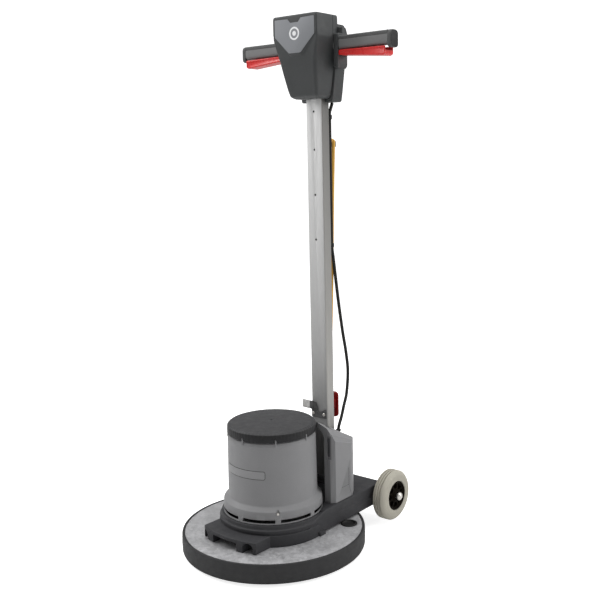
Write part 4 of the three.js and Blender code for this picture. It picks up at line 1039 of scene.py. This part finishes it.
def box_rear():
    rear = span("control_box_rear")
    low = rear.z0
    table = [(1043, 47), (1060, 50), (1118, 58), (1189, 66.5), (1225, 64)]
    depth = [(1043, 234), (1060, 234), (1120, 234), (1200, 231), (1213, 225), (1222, 212)]
    loops = []
    rows = [low, low + 0.5, low + 1.5,
            low + 3] + [low + 3 + (1204 - low - 3) * k / 30 for k in range(1, 31)]
    rows += [1204 + 17 * math.sin(k / 6 * math.pi / 2) for k in range(1, 7)]
    for z in rows:
        half = between(table, z) - 1.5 * (1 - smooth_step((z - low) / 3))
        back = between(depth, z) - 1.5 * (1 - smooth_step((z - low) / 3))
        if z > 1204:
            back = 231 - 10 * (1 - math.sqrt(max(0.0, 1 - ((z - 1204) / 17.01) ** 2)))
        section = rounded([(-half, BOX_SPLIT + 0.3, 1), (half, BOX_SPLIT + 0.3, 1),
                           (half - 1, back, 9), (1 - half, back, 9)], steps=6)
        loops.append([(x, y, z) for x, y in section])
    shell = loft("box_rear_shell", loops)
    inward = rounded([(BOX_SPLIT + 0.3, 1128, 1), (203, 1117, 4), (209, 1125, 5), (210, 1198, 6),
                      (205, 1211, 6),
                      (BOX_SPLIT + 0.3, 1214, 1)], steps=5)
    wrapped = rounded([(172.5, 1121, 5), (180, 1117, 5), (203, 1117, 4), (209, 1125, 5),
                       (210, 1198, 6), (205, 1211, 6),
                       (191.3, 1214, 2), (191.3, 1198), (174.2, 1198, 5)], steps=5)
    for side in (1, -1):
        for part in (prism("socket", inward, "x", 48, 70), prism("wrap", wrapped, "x", 67.5, 80)):
            add(shell, part if side > 0 else mirrored(part))
        # The lever's hinge: a slot for its tongue, with a bore for the pin on each side of it.
        slot = block("hinge_slot", 70.2, 100, BAR_Y - 7.6, BAR_Y + 7.6, 1148.6, BAR_Z)
        pin_room = rod("pin_room", "y", 2.3, BAR_Y - 10.9, BAR_Y + 10.9, HINGE_X, HINGE_Z, 24)
        for tool in (slot, pin_room):
            cut(shell, tool if side > 0 else mirrored(tool))
    pole_box = span("pole_tube")
    half_pole = pole_box.x1 + 0.5
    cut(shell, block("pole_room", -half_pole, half_pole, 150, pole_box.y1 + 0.5, 1000, pole_box.z1 + 2))
    grip = rectangle(175.5, 204.5, 1159.5, 1192.5, 9.5, 6)
    cut(shell, prism("grip_room", grip, "x", -90, 90))
    button = span("lock_button")
    cut(shell,
        rod("button_room", "y", 8.5, 214, 245, button.x, button.z, 40),
        rod("button_flange_room", "y", 11.5, 214, 226, button.x, button.z, 40))
    soften(shell, 0.8, 2, 50)
    place(shell, "handle", "dark_plastic", PAINT["box"], "control_box_rear", angle=34)
    knob = lathe("lock_button_moulding", rounded([
        (0, button.y0), (8, button.y0), (8, button.y0 + 2), (11, button.y0 + 2, 0.4),
        (11, button.y0 + 5, 0.6),
        (8, button.y0 + 5.2, 0.4), (8, button.y1, 1.6),
        (5.5, button.y1 - 0.2, 1), (3.5, button.y1 - 1.0, 2), (0, button.y1 - 1.2),
    ], steps=4), 48, ring=False)
    moved(knob, Matrix.Translation((button.x * MM, 0, button.z * MM)) @ TO_REAR)
    place(knob, "lock_button", "lead_yellow", PAINT["yellow"], "lock_button")


def grip(name, side):
    bar = span(f"grip_{name}")
    end = bar.x1 if side > 0 else -bar.x0
    y0, y1, z0, z1 = 176, 204, 1160, 1192
    groove = 1182.5
    section = rounded([
        (y0, z0, 8), (y1, z0, 8), (y1, groove - 1.1, 0.3), (y1 - 0.9, groove, 0.3),
        (y1, groove + 1.1, 0.3), (y1, z1, 9),
        (y0, z1, 9), (y0, groove + 1.1, 0.3), (y0 + 0.9, groove, 0.3), (y0, groove - 1.1, 0.3),
    ], steps=5)
    body = prism(f"grip_{name}_body", section, "x", 63, end - 11.5)
    cap_shape = rounded([(y0 - 1, z0 - 7, 8), (y1 + 1, z0 - 7, 8), (y1 + 1, z1 + 0.5, 10),
                         (y0 - 1, z1 + 0.5, 10)], steps=7)
    cap = prism(f"grip_{name}_end", cap_shape, "x", end - 12, end, 3.2, 5)
    bore = rod("bar_room", "x", 9.3, 55, end - 8, BAR_Y, BAR_Z, 32)
    cut(body, bore)
    for piece, paint in ((body, PAINT["grip"]), (cap, PAINT["soft"])):
        if side < 0:
            mirrored(piece)
        place(piece, "handle", "dark_plastic", paint, f"grip_{name}")
    # The end faces of the soft cap get the near-black copy as painted shade.
    cap.data.materials.append(PAINT["painted_shade_side"])
    for polygon in cap.data.polygons:
        if abs(polygon.normal.x) > 0.8:
            polygon.material_index = 1
    body.data.materials.append(PAINT["soft"])
    for polygon in body.data.polygons:
        if polygon.center.z / MM > groove + 0.4:
            polygon.material_index = 1


def lever(name, side):
    """A squeeze lever: a trough with an outlined panel on each flank, hung by a tongue and pin."""
    root, end = 82, 212
    outline = rounded([
        (root, 1147, 2.4), (206, 1136.5, 7), (end, 1140, 4), (end, 1157, 2.4), (root, 1158.5, 2.4),
    ], steps=5)
    outer, inner = 17.5, 15
    piece = prism(f"lever_{name}_moulding", outline, "y", BAR_Y - outer, BAR_Y + outer, 1.6, 4)
    channel = rounded([(root + 3, 1151.5, 2), (202, 1140, 4), (end + 1, 1148.5), (end + 1, 1165),
                       (root + 3, 1165)], steps=4)
    cut(piece, prism("channel", channel, "y", BAR_Y - inner, BAR_Y + inner))
    panel = rounded([(root + 6, 1149.6, 1), (204, 1139.8, 3), (end - 3, 1142.5, 2),
                     (end - 3, 1153.6, 1),
                     (root + 6, 1155.6, 1)], steps=4)
    for face in (-1, 1):
        level = sorted((BAR_Y + face * (outer - 0.8), BAR_Y + face * (outer + 2)))
        cut(piece, prism("panel", panel, "y", *level))
    tongue = rounded([(HINGE_X - 4, 1150, 3.9), (root + 2, 1150), (root + 2, 1158),
                      (HINGE_X - 4, 1158, 3.9)], steps=8)
    add(piece, prism("tongue", tongue, "y", 183, 197))
    add(piece, rod("pin", "y", 2, BAR_Y - HINGE_HALF, BAR_Y + HINGE_HALF, HINGE_X, HINGE_Z, 24))
    soften(piece, 0.45, 2, 50)
    if side < 0:
        mirrored(piece)
    place(piece, f"lever_{name}", "red_plastic", PAINT["red"], f"lever_{name}")


# ---- Brush ------------------------------------------------------------------------------------
def brush():
    box = span("brush_block")
    outer, low, high = box.x1, box.z0, box.z1
    board = lathe("brush_board", rounded([
        (52, low, 0.6), (outer - 1, low, 1.5), (outer, high - 4, 2), (outer - 6, high, 2),
        (70, high, 1), (70, high - 9, 0.5),
        (52, high - 9, 0.5),
    ], steps=3), 144)
    place(board, "brush", "dark_plastic", PAINT["block"], "brush_block")
    random.seed(7)
    tufts = []
    length = span("brush_bristles").z1
    for ring, radius in enumerate((66, 88, 110, 132, 154, 176)):
        count = int(2 * math.pi * radius / 17)
        for k in range(count):
            turn = 2 * math.pi * (k + 0.5 * (ring % 2)) / count
            lean = 1 + random.uniform(-0.008, 0.012)
            x, y = math.cos(turn), math.sin(turn)
            loops = []
            for level, width in ((length + 0.2, 3.6), (length * 0.5, 4.4), (1.2, 5.6), (0.2, 5.2)):
                away = radius * (lean if level < 5 else 1)
                sides = [2 * math.pi * j / 10 for j in range(10)]
                loops.append([(away * x + width * math.cos(s), away * y + width * math.sin(s),
                               level) for s in sides])
            tufts.append(loft("tuft", loops))
    place(gathered("brush_tufts", tufts), "brush", "bristle", PAINT["bristle"], "brush_bristles")


# ---- Carried-over CAD nodes -------------------------------------------------------------------
def paint_nodes():
    steel = ("gearbox_case ring_gear output_bearing lower_end_shield lower_bearing upper_end_shield upper_bearing "
             "motor_shaft rotor_core planet_gear_1 planet_gear_2 planet_gear_3 planet_carrier pivot_pin axle "
             "handle_bar").split()
    named = {name: "steel" for name in steel}
    # The handle bracket and both capacitors, in the shade inside the rear cover, get dark paint as painted shade.
    named.update(stator_core="copper", cooling_fan="black", start_capacitor="black",
                 run_capacitor="black",
                 power_switch="black", drive_plate="block", handle_bracket="chassis")
    for name, paint in named.items():
        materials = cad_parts[name].data.materials
        materials.clear()
        materials.append(PAINT[paint])


# ---- Stage ------------------------------------------------------------------------------------
def stage():
    floor_paint = Paint("studio_floor")
    seen_by_camera = floor_paint.node("LightPath").outputs["Is Camera Ray"]
    floor_paint.feed(floor_paint.shader, {
        "Base Color": floor_paint.mixed(floor_paint.noise(3, 2), grey(0.80), grey(0.83)),
        "Roughness": 0.9,
        "Specular IOR Level": 0.0,
        "Emission Color": grey(1.0),
        "Emission Strength": floor_paint.ranged(seen_by_camera, 0, 1, 0.0, 0.80),
    })
    side, wall, rise = 9.0, 6.0, 5.0
    profile = [(-side, 0.0), (wall - 2.0, 0.0)]
    profile += [(wall - 2.0 + 2.0 * math.sin(t), 2.0 - 2.0 * math.cos(t)) for t in
                [k / 12 * math.pi / 2 for k in range(1, 13)]] + [(wall, rise)]
    vertices, faces = [], []
    for i, (y, z) in enumerate(profile):
        vertices += [(-side / MM, y / MM, z / MM), (side / MM, y / MM, z / MM)]
        if i:
            faces.append([2 * i - 2, 2 * i - 1, 2 * i + 1, 2 * i])
    sweep = make("studio_sweep", vertices, faces)
    sweep.data.transform(Matrix.Rotation(math.radians(38.4), 4, "Z"))
    sweep.data.materials.append(floor_paint.material)
    sweep.data.polygons.foreach_set("use_smooth", [True] * len(sweep.data.polygons))

    world = bpy.data.worlds.new("studio")
    bpy.context.scene.world = world
    world.use_nodes = True
    tree = world.node_tree
    seen, lit = tree.nodes["Background"], tree.nodes.new("ShaderNodeBackground")
    seen.inputs["Color"].default_value = lit.inputs["Color"].default_value = grey(1.0)
    seen.inputs["Strength"].default_value = 1.0
    lit.inputs["Strength"].default_value = 0.42
    mix = tree.nodes.new("ShaderNodeMixShader")
    tree.links.new(tree.nodes.new("ShaderNodeLightPath").outputs["Is Camera Ray"], mix.inputs[0])
    tree.links.new(lit.outputs[0], mix.inputs[1])
    tree.links.new(seen.outputs[0], mix.inputs[2])
    tree.links.new(mix.outputs[0], tree.nodes["World Output"].inputs["Surface"])

    def lamp(name, place_at, target, size, watts):
        light = bpy.data.lights.new(name, "AREA")
        light.shape = "RECTANGLE"
        light.size, light.size_y = size
        light.energy = watts
        holder = bpy.data.objects.new(name, light)
        holder.location = place_at
        holder.rotation_euler = (Vector(target) - Vector(place_at)).to_track_quat("-Z", "Y").to_euler()
        bpy.context.scene.collection.objects.link(holder)

    lamp("key", (-2.6, -1.2, 2.4), (0, 0, 0.5), (1.6, 2.0), 55)
    lamp("fill", (2.6, 1.6, 1.8), (0, 0.1, 0.5), (1.4, 2.2), 40)
    lamp("top", (0.0, 0.2, 3.2), (0, 0, 0.3), (2.0, 2.0), 60)


def camera():
    """The viewpoint is described by its place, heading, pitch and roll, and by a shifted lens."""
    azimuth, elevation, roll = (math.radians(a) for a in (38.441, 6.378, -1.029))
    back = Vector((math.sin(azimuth) * math.cos(elevation), -math.cos(azimuth) * math.cos(elevation),
                   math.sin(elevation)))
    right = Vector((math.cos(azimuth), math.sin(azimuth), 0))
    up = back.cross(right)
    tilted_right = math.cos(roll) * right + math.sin(roll) * up
    tilted_up = math.cos(roll) * up - math.sin(roll) * right
    lens = bpy.data.cameras.new("view")
    lens.sensor_width = 36
    lens.lens = 53.43
    lens.shift_x = -0.046
    lens.shift_y = -0.0687
    lens.clip_end = 100
    holder = bpy.data.objects.new("view", lens)
    matrix = Matrix((tilted_right, tilted_up, back)).transposed().to_4x4()
    matrix.translation = Vector((1.36453, -1.49752, 0.90681))
    holder.matrix_world = matrix
    bpy.context.scene.collection.objects.link(holder)
    bpy.context.scene.camera = holder
    bpy.context.scene.view_settings.view_transform = "Standard"


# ---- Assembly ---------------------------------------------------------------------------------
brush_deck()
chassis()
motor_casing()
blank_badge()
motor_cap()
rear_cover()
cover_fittings()
pole()
bracket()
hooks_and_leads()
box_front()
box_label()
box_rear()
brush()
for label, direction in (("left", -1), ("right", 1)):
    wheel(label, direction)
    grip(label, direction)
    lever(label, direction)
paint_nodes()
stage()
camera()
